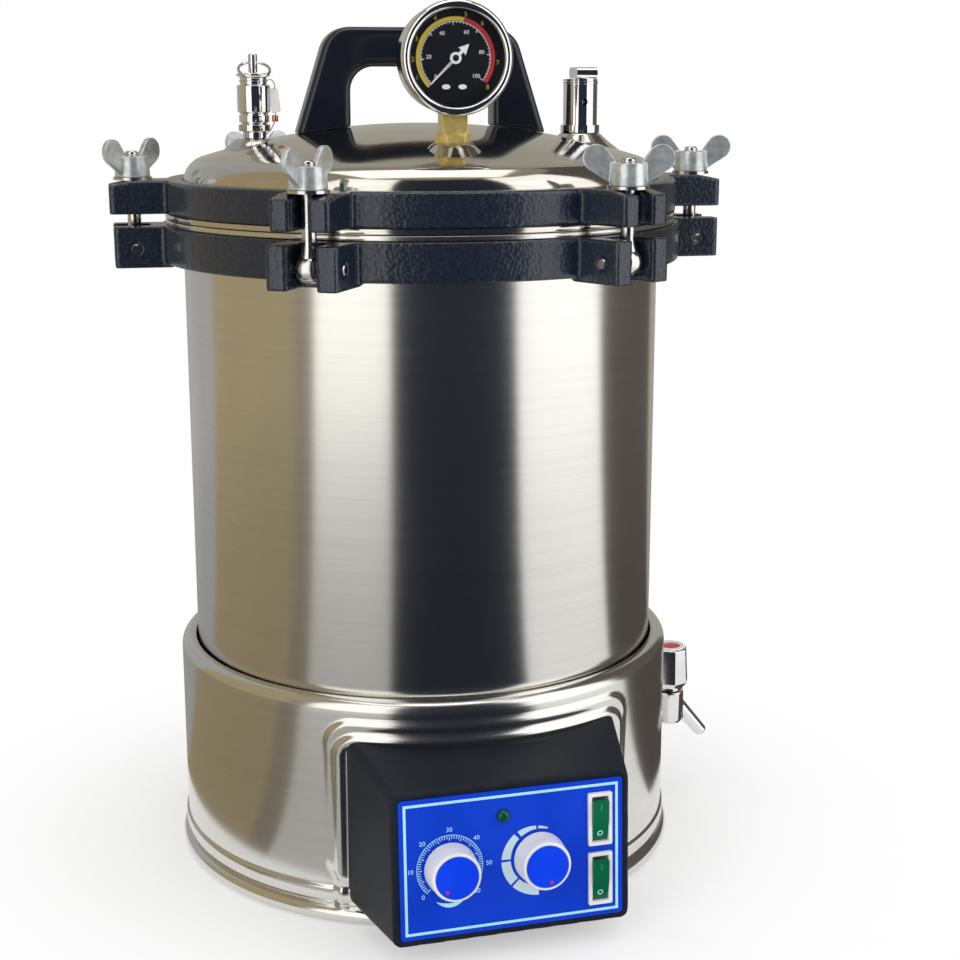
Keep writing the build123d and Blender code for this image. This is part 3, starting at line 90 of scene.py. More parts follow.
def polar(reach, turn, centre=(0.0, 0.0)):
    """The point at a distance and an angle in radians from a centre."""
    return centre[0] + reach * cos(turn), centre[1] + reach * sin(turn)


def mm(*lengths):
    """A place from lengths in millimetres."""
    return Vector(lengths) * MM


def arc(centre, radius, start, end, steps):
    """Points of an arc between two angles in degrees."""
    angles = [start + (end - start) * k / steps for k in range(steps + 1)]
    return [polar(radius, radians(angle), centre) for angle in angles]


# %% A socket that can be added, multiplied and compared
def arithmetic(operation, swapped=False):
    """A method that adds a node for two terms."""
    def method(term, other):
        pair = (other, term) if swapped else (term, other)
        return term.graph.add("ShaderNodeMath", pair, operation=operation)
    return method


class Term:
    """One output of a node, usable in plain arithmetic."""

    __add__ = arithmetic("ADD")
    __radd__ = arithmetic("ADD", True)
    __sub__ = arithmetic("SUBTRACT")
    __mul__ = arithmetic("MULTIPLY")
    __rmul__ = arithmetic("MULTIPLY", True)
    __truediv__ = arithmetic("DIVIDE")
    __mod__ = arithmetic("MODULO")
    __pow__ = arithmetic("POWER")
    __gt__ = arithmetic("GREATER_THAN")

    def __init__(self, graph, socket):
        self.graph = graph
        self.socket = socket

    def output(self, name):
        """Another output of the same node."""
        return Term(self.graph, self.socket.node.outputs[name])

    def through(self, operation):
        """A function of this term alone, such as its cosine."""
        return self.graph.add("ShaderNodeMath", [self], operation=operation)


class Graph:
    """A node tree under construction."""

    def __init__(self, tree):
        self.tree = tree

    def add(self, kind, inputs=(), **settings):
        """Adds a node: its settings first, then the values or links of its inputs."""
        node = self.tree.nodes.new(kind)
        for key, value in settings.items():
            setattr(node, key, value)
        pairs = inputs.items() if isinstance(inputs, dict) else enumerate(inputs)
        for key, value in pairs:
            if isinstance(value, Term):
                self.tree.links.new(value.socket, node.inputs[key])
            else:
                node.inputs[key].default_value = value
        return Term(self, next((s for s in node.outputs if s.enabled), None))

    def blend(self, first, second, share):
        """Mixes two colours."""
        inputs = {0: share, 6: (*first, 1.0), 7: (*second, 1.0)}
        mixed = self.add("ShaderNodeMix", inputs, data_type="RGBA")
        return Term(self, mixed.socket.node.outputs[2])

    def step(self, value, low, high, start=0.0, end=1.0):
        """A smooth step of a value between two edges."""
        inputs = {0: value, 1: low, 2: high, 3: start, 4: end}
        return self.add("ShaderNodeMapRange", inputs, interpolation_type="SMOOTHSTEP")

    def seen(self):
        """1 for rays from the camera, a reflection or clear plastic, 0 for all others."""
        path = self.add("ShaderNodeLightPath")
        direct = path.output("Is Camera Ray") + path.output("Is Glossy Ray")
        return (direct + path.output("Is Transmission Ray")) > 0.5


# %% A material with its noise and its relief
class Finish(Graph):
    """One material with a Principled surface."""

    def __init__(self, name, colour, sockets=()):
        self.material = bpy.data.materials.new(name + "_finish")
        self.material.use_nodes = True
        self.material.diffuse_color = (*colour, 1.0)
        super().__init__(self.material.node_tree)
        self.tree.nodes.clear()
        base = {"Base Color": (*colour, 1.0), **dict(sockets)}
        self.surface = self.add("ShaderNodeBsdfPrincipled", base)
        self.result = self.tree.nodes.new("ShaderNodeOutputMaterial").inputs[0]
        self.show(self.surface)
        self.place = self.add("ShaderNodeTexCoord").output("Object")

    def show(self, shader):
        """Makes a shader the one that the material shows."""
        self.tree.links.new(shader.socket, self.result)

    def glow(self, colour, strength):
        return self.add("ShaderNodeEmission", {"Color": colour, "Strength": strength})

    def reach(self):
        """Distance from the upright axis."""
        parts = self.add("ShaderNodeSeparateXYZ", [self.place])
        return (parts.output("X") ** 2.0 + parts.output("Y") ** 2.0) ** 0.5

    def noise(self, scale, detail=3.0, stretch=(1, 1, 1)):
        """Soft noise; the place is first multiplied along each axis."""
        place = self.add("ShaderNodeVectorMath", [self.place, stretch], operation="MULTIPLY")
        return self.add("ShaderNodeTexNoise", {"Vector": place, "Scale": scale, "Detail": detail})

    def feed(self, socket, term):
        self.tree.links.new(term.socket, self.surface.socket.node.inputs[socket])

    def dressed(self, colour, roughness, height, depth):
        """The material, once its surface has a colour, a roughness and a relief of a depth."""
        relief = {"Strength": 1.0, "Distance": depth * MICRON, "Height": height}
        self.feed("Base Color", colour)
        self.feed("Roughness", roughness)
        self.feed("Normal", self.add("ShaderNodeBump", relief))
        return self.material


# %% [markdown]
# ## Finishes
#
# Each finish gets a short function or a row of a table, and has the name of the slot it fills. A
# few are a second shade of a slot and have a name of their own. The grain of the stainless is
# noise squeezed along the height. Depths are in thousandths of a millimetre.


# %% Stainless, chrome and the other metals
def scaled(colour, factor, lift=0.0):
    """A darker or lighter colour."""
    return tuple(min(1.0, factor * c + lift) for c in colour)


def polished_stainless(name, colour, depth, roughness):
    finish = Finish(name, colour, {"Metallic": 1.0})
    fine = finish.noise(1.0, 2.0, (4.0, 4.0, 2600.0))
    broad = finish.noise(1.0, 4.0, (3.0, 3.0, 420.0))
    cloud = finish.noise(9.0, 2.0)
    base = finish.blend(scaled(colour, 0.965), colour, finish.step(broad, 0.3, 0.6))
    rough = roughness + 0.025 * (broad - 0.5) + 0.05 * (cloud - 0.5)
    return finish.dressed(base, rough, fine, depth)


def plated(name, colour, roughness):
    """Bright plating: nearly a mirror, with faint smears and pits."""
    finish = Finish(name, colour, {"Metallic": 1.0})
    smear = finish.noise(60.0, 4.0)
    base = finish.blend(colour, scaled(colour, 0.86), finish.step(smear, 0.4, 0.8))
    rough = roughness + 0.08 * finish.step(smear, 0.45, 0.75)
    return finish.dressed(base, rough, finish.noise(260.0, 2.0), 10)


def cast_metal(name, colour, roughness, metallic):
    """Die-cast or machined metal: a dull skin with shallow waves."""
    finish = Finish(name, colour, {"Metallic": metallic})
    wave = finish.noise(190.0)
    patch = finish.noise(45.0, 2.0)
    base = finish.blend(scaled(colour, 0.72), colour, finish.step(wave, 0.3, 0.65))
    return finish.dressed(base, roughness + 0.16 * (patch - 0.5), wave, 120)


finishes = {
    "stainless": polished_stainless("stainless", (0.73, 0.72, 0.69), 12, 0.17),
    "lid_stainless": polished_stainless("lid_stainless", (0.66, 0.63, 0.57), 6, 0.10),
    "inner_stainless": polished_stainless("inner_stainless", (0.62, 0.62, 0.60), 20, 0.30),
    "chrome": plated("chrome", (0.82, 0.82, 0.83), 0.05),
    "steel": plated("steel", (0.70, 0.69, 0.67), 0.14),
    "copper": plated("copper", (0.66, 0.30, 0.17), 0.22),
    "brass": cast_metal("brass", (0.88, 0.68, 0.23), 0.30, 0.5),
    "zinc": cast_metal("zinc", (0.68, 0.72, 0.73), 0.30, 0.68),
}


# %% Paint, plastics, rubber and glass
def hammered_paint(name, colour):
    """Hammer-finish paint: glossy, with a close pattern of shallow dimples."""
    finish = Finish(name, colour, {"Coat Weight": 0.35, "Coat Roughness": 0.12})
    cells = {"Vector": finish.place, "Scale": 520.0, "Smoothness": 0.6}
    dimple = finish.add("ShaderNodeTexVoronoi", cells, feature="SMOOTH_F1")
    ripple = finish.noise(300.0, 2.0)
    base = finish.blend(scaled(colour, 1.6), colour, finish.step(dimple, 0.15, 0.55))
    return finish.dressed(base, 0.20 + 0.14 * ripple, dimple + 0.5 * ripple, 240)


def moulded(name, colour, roughness, texture, depth, sockets=()):
    """Moulded plastic: an even colour with a fine skin."""
    finish = Finish(name, colour, sockets)
    patch = finish.noise(25.0, 2.0)
    base = finish.blend(colour, scaled(colour, 1.12, 0.002), finish.step(patch, 0.35, 0.65))
    rough = roughness + 0.10 * (patch - 0.5)
    return finish.dressed(base, rough, finish.noise(texture), depth)


dull = {"Specular IOR Level": 0.14}
white = ((0.80, 0.80, 0.79), 0.28, 300.0, 10)
moulded_values = {
    "handle_black": ((0.008, 0.010, 0.018), 0.16, 220.0, 20),
    "box_black": ((0.012, 0.015, 0.023), 0.46, 900.0, 60, dull),
    "panel_blue": ((0.0, 0.046, 0.60), 0.30, 500.0, 10, dull),
    "print_pale": ((0.42, 0.80, 0.98), 0.35, 500.0, 5),
    "print_grey": ((0.55, 0.70, 0.76), 0.35, 500.0, 5),
    "knob_white": white,
    "switch_white": white,
    "knob_blue": ((0.0, 0.050, 0.82), 0.24, 400.0, 10, dull),
    "dot_red": ((0.70, 0.01, 0.05), 0.3, 400.0, 10),
    "tap_red": ((0.62, 0.012, 0.015), 0.25, 300.0, 10),
    "rocker_green": ((0.0, 0.13, 0.055), 0.18, 300.0, 10),
    "rocker_mark": ((0.03, 0.30, 0.14), 0.3, 300.0, 10),
    "lamp_green": ((0.0, 0.06, 0.025), 0.08, 300.0, 10),
    # painted highlight for the lamp's lens: a brighter green that stands in for a reflection
    "lamp_lit": ((0.05, 0.42, 0.13), 0.15, 300.0, 10),
    "device_grey": ((0.20, 0.20, 0.21), 0.5, 600.0, 40),
    "rubber": ((0.03, 0.03, 0.03), 0.6, 700.0, 50),
    "dial_black": ((0.006, 0.008, 0.014), 0.30, 500.0, 5),
    "dial_yellow": ((0.66, 0.52, 0.04), 0.4, 500.0, 5),
    "dial_red": ((0.62, 0.02, 0.03), 0.4, 500.0, 5),
    "pointer_white": ((0.96, 0.96, 0.95), 0.3, 500.0, 5),
    "seal_film": ((0.86, 0.80, 0.80), 0.2, 300.0, 10, {"Alpha": 0.55}),
    "clear_glass": ((0.02, 0.02, 0.02), 0.03, 200.0, 2, {"Alpha": 0.06}),
}
for finish_name, values in moulded_values.items():
    finishes[finish_name] = moulded(finish_name, *values)
finishes["hammered_paint"] = hammered_paint("hammered_paint", (0.008, 0.013, 0.026))
print(len(finishes), "finishes mixed")

# %% [markdown]
# ## The floor, the light and what the metal sees
#
# The object stands on pale paper in a white studio. Polished metal is only as interesting as its
# surroundings: the bands on the pot and the dome come from a ring of tall cards that only
# reflections can see, one for each band in the photograph.


# %% White world, pale floor
def studio_world():
    world = bpy.data.worlds.new("studio")
    world.use_nodes = True
    scene.world = world
    graph = Graph(world.node_tree)
    graph.tree.nodes.clear()
    soft = 0.72
    light = {"Color": WHITE, "Strength": soft + (1.0 - soft) * graph.seen()}
    graph.add("ShaderNodeOutputWorld", [graph.add("ShaderNodeBackground", light)])


def stage_piece(name, corners, faces, material):
    mesh = bpy.data.meshes.new(name)
    mesh.from_pydata(corners, [], faces)
    mesh.materials.append(material)
    piece = bpy.data.objects.new(name, mesh)
    scene.collection.objects.link(piece)
    return piece


def floor_material():
    """Pale paper under the object, fading within a third of a metre into the white around it."""
    paint = Finish("floor_paper", (0.98, 0.98, 0.98))
    paint.feed("Roughness", 0.72 + 0.08 * paint.noise(40.0))
    share = paint.step(paint.reach(), 0.0, 0.36) * paint.seen()
    white_light = paint.glow(WHITE, 1.0)
    paint.show(paint.add("ShaderNodeMixShader", [share, paint.surface, white_light]))
    return paint.material


floor_half = 7.0
floor_corners = [(x * floor_half, y * floor_half, 0.0)
                 for x, y in ((-1, -1), (1, -1), (1, 1), (-1, 1))]
stage_piece("floor", floor_corners, [(0, 1, 2, 3)], floor_material())
studio_world()
print("studio ready")


# %% Cards that only reflections see
wall_radius, wall_height = 1.75, 3.0
card_section = [(0.20, 0.002), (0.9, 0.002), (1.7, 0.004), (wall_radius, 0.4),
                (wall_radius, wall_height)]


def glossy_only(card):
    """Hides a card from every ray but a reflected one."""
    for ray in ("camera", "diffuse", "shadow", "transmission"):
        setattr(card, "visible_" + ray, False)


def reflection_card(name, start, end, colour, strength, nearby):
    """A sector of floor with a tall curved wall behind it, between two directions in degrees."""
    finish = Finish(name, colour)
    cloud = finish.noise(2.2, 2.0)
    fade = finish.step(finish.reach(), 0.32, 1.25, nearby, 1.0) * (0.88 + 0.24 * cloud)
    finish.show(finish.glow((*colour, 1.0), strength * fade))
    steps, width = 24, len(card_section)
    corners = []
    for k in range(steps + 1):
        turn = radians(start + (end - start) * k / steps)
        corners += [(*polar(radius, turn), height) for radius, height in card_section]
    firsts = [step * width + k for step in range(steps) for k in range(width - 1)]
    faces = [(n, n + width, n + width + 1, n + 1) for n in firsts]
    glossy_only(stage_piece(name, corners, faces, finish.material))


cards = {
    "front_dark": (-114.0, -57.0, (0.022, 0.027, 0.040), 1.0, 0.75),
    "left_soft": (-150.0, -114.0, (1.0, 0.99, 0.95), 1.45, 0.32),
    "left_shade": (-160.0, -150.0, (0.30, 0.26, 0.20), 1.0, 0.70),
    "left_olive": (-216.0, -160.0, (0.42, 0.35, 0.215), 1.0, 0.70),
    "left_grey": (-260.0, -216.0, (0.44, 0.44, 0.44), 1.0, 0.75),
    "right_soft": (-57.0, -9.0, (1.0, 0.99, 0.98), 1.45, 0.62),
    "right_brown": (-9.0, 44.0, (0.115, 0.10, 0.092), 1.0, 0.7),
    "back_pale": (44.0, 100.0, (0.42, 0.40, 0.35), 1.0, 0.9),
}
for card_name, values in cards.items():
    reflection_card(card_name, *values)


def reflection_ceiling(sides=64):
    """A dull ceiling with a soft bright middle, which gives the dome its tone."""
    finish = Finish("ceiling", (0.5, 0.5, 0.5))
    share = finish.step(finish.reach(), 0.35, 0.95)
    finish.show(finish.glow(finish.blend((0.95, 0.94, 0.90), (0.31, 0.30, 0.26), share), 1.0))
    corners = [(*polar(wall_radius, turn), wall_height) for turn in turns(sides)]
    glossy_only(stage_piece("ceiling", corners, [tuple(range(sides))], finish.material))


reflection_ceiling()


# %% Two large soft lamps and a top light
def area_lamp(name, place, aim, width, height, power):
    data = bpy.data.lights.new(name, "AREA")
    data.shape = "RECTANGLE"
    data.size = width
    data.size_y = height
    data.energy = power
    lamp = bpy.data.objects.new(name, data)
    lamp.location = place
    lamp.rotation_euler = (Vector(aim) - Vector(place)).to_track_quat("-Z", "Y").to_euler()
    lamp.visible_camera = False
    scene.collection.objects.link(lamp)


area_lamp("left_lamp", (-1.3, -1.5, 1.3), (0, 0, 0.25), 1.0, 1.2, 7.0)
area_lamp("right_lamp", (1.5, -1.1, 1.1), (0, 0, 0.25), 1.0, 1.2, 6.0)
area_lamp("top_lamp", (0.0, -0.2, 2.2), (0, 0, 0.3), 1.6, 1.2, 8.0)
print("lamps and", len(cards), "cards placed")

# %% [markdown]
# ## Making and placing surfaces
#
# A turned part is a profile spun about a line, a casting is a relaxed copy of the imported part, and
# a print is a thin sheet. One function gives each piece its body and its slot.


# %% Helpers that close and place a surface
def shown(mesh, name, finish, body, *replaced):
    """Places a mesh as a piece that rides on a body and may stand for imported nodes."""
    mesh.materials.clear()
    mesh.materials.append(finishes[finish])
    mesh.name = name
    piece = bpy.data.objects.new(name, mesh)
    scene.collection.objects.link(piece)
    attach(piece, body)
    if replaced:
        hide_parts(*replaced)
    return piece


def shaded(mesh, angle):
    """Smooth shading that breaks at edges sharper than an angle."""
    mesh.shade_smooth()
    mesh.set_sharp_from_angle(angle=radians(angle))
    return mesh


def closed_mesh(work, angle=32.0, weld=1e-6):
    """Turns a working mesh into a mesh with outward normals."""
    bmesh.ops.remove_doubles(work, verts=work.verts[:], dist=weld)
    bmesh.ops.recalc_face_normals(work, faces=work.faces[:])
    mesh = bpy.data.meshes.new("surface")
    work.to_mesh(mesh)
    work.free()
    return shaded(mesh, angle)


def merged(meshes, angle=30.0):
    """Several meshes as one."""
    work = bmesh.new()
    for mesh in meshes:
        work.from_mesh(mesh)
    return closed_mesh(work, angle, 1e-7)


def skin(rows, loop=False, angle=32.0):
    """A mesh through rings of places, with capped ends unless the rings form a loop."""
    work = bmesh.new()
    rings = [[work.verts.new(spot) for spot in row] for row in rows]
    if loop:
        rings.append(rings[0])
    for ring, following in zip(rings, rings[1:]):
        for k in range(len(ring)):
            n = (k + 1) % len(ring)
            work.faces.new((ring[k], ring[n], following[n], following[k]))
    for ring in () if loop else (rings[0], rings[-1]):
        if (ring[0].co - ring[len(ring) // 2].co).length > 2e-6:
            work.faces.new(ring)
    return closed_mesh(work, angle)


# %% Helpers that turn, round and soften
def spun(profile, steps=96, place=Matrix.Identity(4), loop=False, angle=32.0):
    """A turned surface: (radius, height) pairs in millimetres, spun about the local Z."""
    rows = [[place @ mm(*polar(radius, turn), height) for turn in turns(steps)]
            for radius, height in profile]
    return skin(rows, loop, angle)


def rounded(profile, reach=0.8, steps=3):
    """Replaces each inner corner of a profile by a short curve."""
    points = [Vector(point) for point in profile]
    path = [points[0]]
    for before, corner, after in zip(points, points[1:], points[2:]):
        start, end = (corner.lerp(other, min(0.45, reach / (other - corner).length))
                      for other in (before, after))
        for k in range(steps + 1):
            t = k / steps
            path.append(start.lerp(corner, t).lerp(corner.lerp(end, t), t))
    return path + [points[-1]]


def offset(section, radius, height):
    """A profile given from a corner, moved to that corner's radius and height."""
    return [(radius + out, height + up) for out, up in section]


def settled(holder):
    """The mesh that an object's modifiers or letters make; the object is removed."""
    scene.collection.objects.link(holder)
    graph = bpy.context.evaluated_depsgraph_get()
    result = bpy.data.meshes.new_from_object(holder.evaluated_get(graph))
    bpy.data.objects.remove(holder)
    return result


def cast_copy(node, grain, rounds, angle=60.0):
    """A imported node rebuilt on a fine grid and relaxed, which rounds its edges."""
    work = bmesh.new()
    work.from_mesh(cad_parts[node].data)
    holder = bpy.data.objects.new(node + "_grid", closed_mesh(work, 180.0))
    grid = holder.modifiers.new("grid", "REMESH")
    grid.mode = "VOXEL"
    grid.voxel_size = grain * MM
    relaxed = holder.modifiers.new("relaxed", "SMOOTH")
    relaxed.factor = 0.5
    relaxed.iterations = rounds
    return shaded(settled(holder), angle)


def node_size(node):
    """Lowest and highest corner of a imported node, in millimetres."""
    return [Vector(corner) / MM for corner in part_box(node)]


def around(turn, radius=0.0, height=0.0):
    """A frame at a place around the pot, its X pointing outwards; lengths in millimetres."""
    return Matrix.Rotation(turn, 4, "Z") @ Matrix.Translation(mm(radius, 0, height))


def at(place, across, up, out=0.0):
    """A frame moved within a flat surface."""
    return place @ Matrix.Translation(mm(across, up, out))


# %% [markdown]
# ## The pot
#
# The pot is one drawn shell. Its profile runs down the outside and back up the inside, so that the
# sheet has its real thickness, and many steps keep facets out of the mirror.

# %% Spin the pot
vessel_low, vessel_high = node_size("vessel")
flange_width, flange_thickness, pot_wall = 10.0, 3.4, 2.0
flange_radius = vessel_high.x
pot_radius = flange_radius - flange_width
pot_bore = pot_radius - pot_wall
flange_z = vessel_high.z - flange_thickness
pot_profile = rounded([
    (0.0, vessel_low.z), (pot_radius, vessel_low.z), (pot_radius, flange_z),
    (flange_radius, flange_z), (flange_radius, vessel_high.z), (pot_bore, vessel_high.z),
    (pot_bore, vessel_low.z + pot_wall), (0.0, vessel_low.z + pot_wall),
], 1.2)
pot = shown(spun(pot_profile, 224), "pot_shell", "stainless", "root", "vessel")
print("pot faces", len(pot.data.polygons))

# %% [markdown]
# ## The heater base
#
# The base is a band of sheet with a rolled shoulder, a swaged line and a bead at its foot. Around
# the control box it is pressed outwards with a crisp lip. Pressing is a rule: how far the wall
# moves depends only on its distance from two rounded rectangles.

# %% Lay out the wall and its pressed panel
base_turn = radians(4.1)
front_turn = base_turn - pi / 2
skirt_radius = 152.0
skirt_inner = skirt_radius - 1.0
skirt_top = node_size("base_skirt")[1].z
shoulder = 6.4
lip_radius = pot_radius + 1.1
bead_radius = 5.0
bead_centre = (node_size("base_skirt")[1].x - bead_radius, bead_radius)
swage = [(-0.4, 9.6), (0.0, 11.2), (0.1, 12.2), (0.9, 12.9), (1.3, 13.8), (1.3, 20.2), (0.9, 21.1),
         (0.1, 21.8)]
wall_start, wall_step = 22.6, 1.35
pressed_half = radians(52.0)
panel_rise, panel_slope = 1.5, 2.6
lip_rise, lip_centre, lip_width = 1.9, 3.0, 2.1
valley_depth, valley_centre, valley_width = 0.7, 7.6, 1.6
panel_edges = {"half_width": 90.0, "low": 24.0, "high": 124.0, "corner": 15.0}
box_edges = {"half_width": 79.0, "low": -20.0, "high": 109.5, "corner": 7.0}


def ease(value, low, high):
    """A smooth step from 0 to 1."""
    t = min(1.0, max(0.0, (value - low) / (high - low)))
    return t * t * (3.0 - 2.0 * t)


def ridge(value, centre, width):
    """A soft hill of height 1."""
    return exp(-((value - centre) / width) ** 2)


def rectangle_distance(across, up, half_width, low, high, corner):
    """Distance to a rounded rectangle that is centred across; negative inside it."""
    dx = abs(across) - half_width + corner
    dz = abs(up - (low + high) / 2) - (high - low) / 2 + corner
    return hypot(max(dx, 0.0), max(dz, 0.0)) + min(max(dx, dz), 0.0) - corner


def pressed(turn, up):
    """How far the wall stands out at a place, in millimetres."""
    off_front = (turn - front_turn + pi) % (2 * pi) - pi
    if abs(off_front) > pressed_half:
        return 0.0
    across = skirt_radius * sin(off_front)
    inside = ease(rectangle_distance(across, up, **panel_edges), -panel_slope, 0.0)
    box_gap = rectangle_distance(across, up, **box_edges)
    lip = lip_rise * ridge(box_gap, lip_centre, lip_width)
    valley = valley_depth * ridge(box_gap, valley_centre, valley_width)
    return panel_rise * (1.0 - inside) + lip - valley


# %% Press and spin the skirt
def skirt_mesh(steps=512):
    """The sheet up its outside and down its inside; only the wall and the swage are pressed."""
    wall = offset(swage, skirt_radius, 0.0)
    height = wall_start
    while height < skirt_top - 8.5:
        wall.append((skirt_radius, height))
        height += wall_step
    inside = arc((skirt_radius - shoulder, skirt_top - shoulder), shoulder, 0.0, 90.0, 8)
    inside += offset([(0.5, -0.25), (0.0, -0.9), (0.0, -3.5), (1.0, -3.5), (1.1, -1.5)],
                     lip_radius, skirt_top)
    inside += [(skirt_radius - 2.0, skirt_top - 3.2), (skirt_inner, skirt_top - 8.0),
               (skirt_inner, 10.0)]
    rows = []
    for radius, height in arc(bead_centre, bead_radius, -200.0, 50.0, 12) + wall + inside:
        follows = (radius, height) in wall
        reaches = [radius + (pressed(turn, height) if follows else 0.0) for turn in turns(steps)]
        rows.append([mm(*polar(reach, turn), height) for reach, turn in zip(reaches, turns(steps))])
    return skin(rows, True, 50.0)


skirt = shown(skirt_mesh(), "pressed_skirt", "stainless", "root", "base_skirt")
print("skirt faces", len(skirt.data.polygons))

# %% [markdown]
# ## The lid
#
# The dome is part of a large sphere that turns down through a tight knuckle into a flat rim. Its
# three fittings stand on welded bosses.

# %% Spin the dome
lid_low, lid_high = node_size("lid")
crown_radius, knuckle_radius, dome_sheet = 450.0, 16.0, 2.0
rim_width, rim_thickness = 11.0, 3.2
dome_radius = flange_radius - rim_width
rim_top = lid_low.z + rim_thickness
seat_radius, seat_z = flange_radius - 3.9, lid_low.z + 1.7
crown_centre = lid_high.z - crown_radius
knuckle_reach = dome_radius - knuckle_radius
knuckle_z = crown_centre + sqrt((crown_radius - knuckle_radius) ** 2 - knuckle_reach ** 2)
crown_edge = degrees(atan2(knuckle_z - crown_centre, knuckle_reach))


def dome_profile(inset):
    """The dome from its centre to its rim, moved inwards by the sheet's thickness if asked."""
    crown = arc((0.0, crown_centre), crown_radius - inset, 90.0, crown_edge, 32)
    knuckle = arc((knuckle_reach, knuckle_z), knuckle_radius - inset, crown_edge, 0.0, 14)
    return crown + knuckle[1:]


lid_profile = dome_profile(0.0) + rounded([
    (dome_radius, rim_top + 3.0), (dome_radius, rim_top), (flange_radius, rim_top),
    (flange_radius, lid_low.z), (seat_radius, lid_low.z), (seat_radius, seat_z),
    (dome_radius - dome_sheet, seat_z),
], 0.9) + dome_profile(dome_sheet)[::-1]
lid = shown(spun(lid_profile, 224), "dome_shell", "lid_stainless", "lid", "lid")
print("lid faces", len(lid.data.polygons))

# %% Spin the three bosses
boss_circle = 98.6
boss_tops = {"safety": (pi, 436.2), "gauge": (-pi / 2, 436.1), "release": (0.0, 438.9)}
boss_section = [(28.0, -13.5), (22.0, -8.9), (17.2, -5.2), (13.9, -2.3), (12.3, -0.8), (11.0, 0.0),
                (5.0, 0.0), (5.0, -9.0)]
for boss, (turn, top) in boss_tops.items():
    cone = spun(boss_section, 64, around(turn, boss_circle, top), True)
    shown(cone, boss + "_boss", "lid_stainless", "lid")
print(len(boss_tops), "bosses set on the lid")

# %% [markdown]
# ## Castings
#
# Clamp rings, wing nuts, handle and box were cast or moulded, with no sharp edge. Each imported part
# is rebuilt on a fine grid and relaxed, which rounds its edges by about the grid's size.


# %% Round the castings
def cast(node, finish, body, grain, rounds, angle=60.0):
    """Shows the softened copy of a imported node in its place."""
    mesh = cast_copy(node, grain, rounds, angle)
    piece = shown(mesh, node + "_cast", finish, body, node)
    print(node, len(piece.data.polygons))


cast("lower_clamp_ring", "hammered_paint", "root", 1.05, 5)
cast("upper_clamp_ring", "hammered_paint", "lid", 1.05, 5)
cast("handle", "handle_black", "lid", 0.85, 8)
cast("control_box", "box_black", "root", 1.1, 4)
bolt_turns = dict(enumerate(turns(6), 1))
for number in bolt_turns:
    cast(f"wing_nut_{number}", "zinc", f"wing_nut_{number}", 0.36, 5)

# %% [markdown]
# ## Flat shapes, arcs and repeated marks
#
# Scales, borders and figures are prisms a tenth of a millimetre thick. What repeats, such as the
# minutes round the timer, is left to a small node tree that sets blocks along an arc. Its inputs
# are named, so one tree serves every scale.


# %% Flat prisms and sectors
ink = 0.1


def framed(origin, across, up):
    """A frame for flat work: across and up in the surface, third axis out of it."""
    across, up = Vector(across).normalized(), Vector(up).normalized()
    place = Matrix((across, up, across.cross(up))).transposed().to_4x4()
    place.translation = mm(*origin)
    return place


def prism(work, loop, low, high, place):
    """Raises a flat outline, a list of (across, up) pairs, between two heights."""
    under, over = ([work.verts.new(place @ mm(u, w, height)) for u, w in loop]
                   for height in (low, high))
    work.faces.new(over)
    work.faces.new(under[::-1])
    for k in range(len(loop)):
        n = (k + 1) % len(loop)
        work.faces.new((under[k], under[n], over[n], over[k]))


def printed(loops, place, low=0.0, high=ink):
    """Several flat outlines as one thin mesh."""
    work = bmesh.new()
    for loop in loops:
        prism(work, loop, low, high, place)
    return closed_mesh(work)


def sector(start, end, inner, outer):
    """Part of a ring between two angles in degrees; each radius may vary with the angle."""
    steps = max(4, int(abs(end - start) / 2.5))
    angles = [start + (end - start) * k / steps for k in range(steps + 1)]
    rows = [[polar(radius(angle) if callable(radius) else radius, radians(angle))
             for angle in angles] for radius in (inner, outer)]
    return rows[0] + rows[1][::-1]


def oval(centre, across, up, steps=28):
    """An ellipse as an outline."""
    return [(centre[0] + across * cos(t), centre[1] + up * sin(t)) for t in turns(steps)]


# %% A node tree that sets marks along an arc
def geometry_tree(name, **inputs):
    """A node tree with named inputs, the last one for the finish of what it makes."""
    tree = bpy.data.node_groups.new(name, "GeometryNodeTree")
    for label, kind in {**inputs, "Finish": "Material"}.items():
        tree.interface.new_socket(label, in_out="INPUT", socket_type="NodeSocket" + kind)
    tree.interface.new_socket("Result", in_out="OUTPUT", socket_type="NodeSocketGeometry")
    graph = Graph(tree)
    return graph, graph.add("NodeGroupInput").output


def hand_out(graph, geometry, finish):
    """Ends a geometry tree with a painted result."""
    painted = {"Geometry": geometry, "Material": finish}
    graph.add("NodeGroupOutput", [graph.add("GeometryNodeSetMaterial", painted)])
    return graph.tree


def copies(graph, count, spot, instance, **settings):
    """Real copies of one shape, one at each place."""
    points = graph.add("GeometryNodePoints", {"Count": count, "Position": spot})
    inputs = {"Points": points, "Instance": instance, **settings}
    return graph.add("GeometryNodeRealizeInstances",
                     [graph.add("GeometryNodeInstanceOnPoints", inputs)])


def arc_tree():
    graph, given = geometry_tree("marks_on_an_arc", Count="Int", Radius="Float", Start="Float",
                                 Step="Float", Length="Float", Width="Float", Thickness="Float")
    angle = given("Start") + given("Step") * graph.add("GeometryNodeInputIndex")
    spot = [given("Radius") * angle.through(wave) for wave in ("COSINE", "SINE")]
    size = graph.add("ShaderNodeCombineXYZ", [given("Length"), given("Width"), given("Thickness")])
    block = graph.add("GeometryNodeMeshCube", {"Size": size})
    turn = graph.add("ShaderNodeCombineXYZ", {"Z": angle})
    marks = copies(graph, given("Count"), graph.add("ShaderNodeCombineXYZ", spot), block,
                   Rotation=turn)
    return hand_out(graph, marks, given("Finish"))


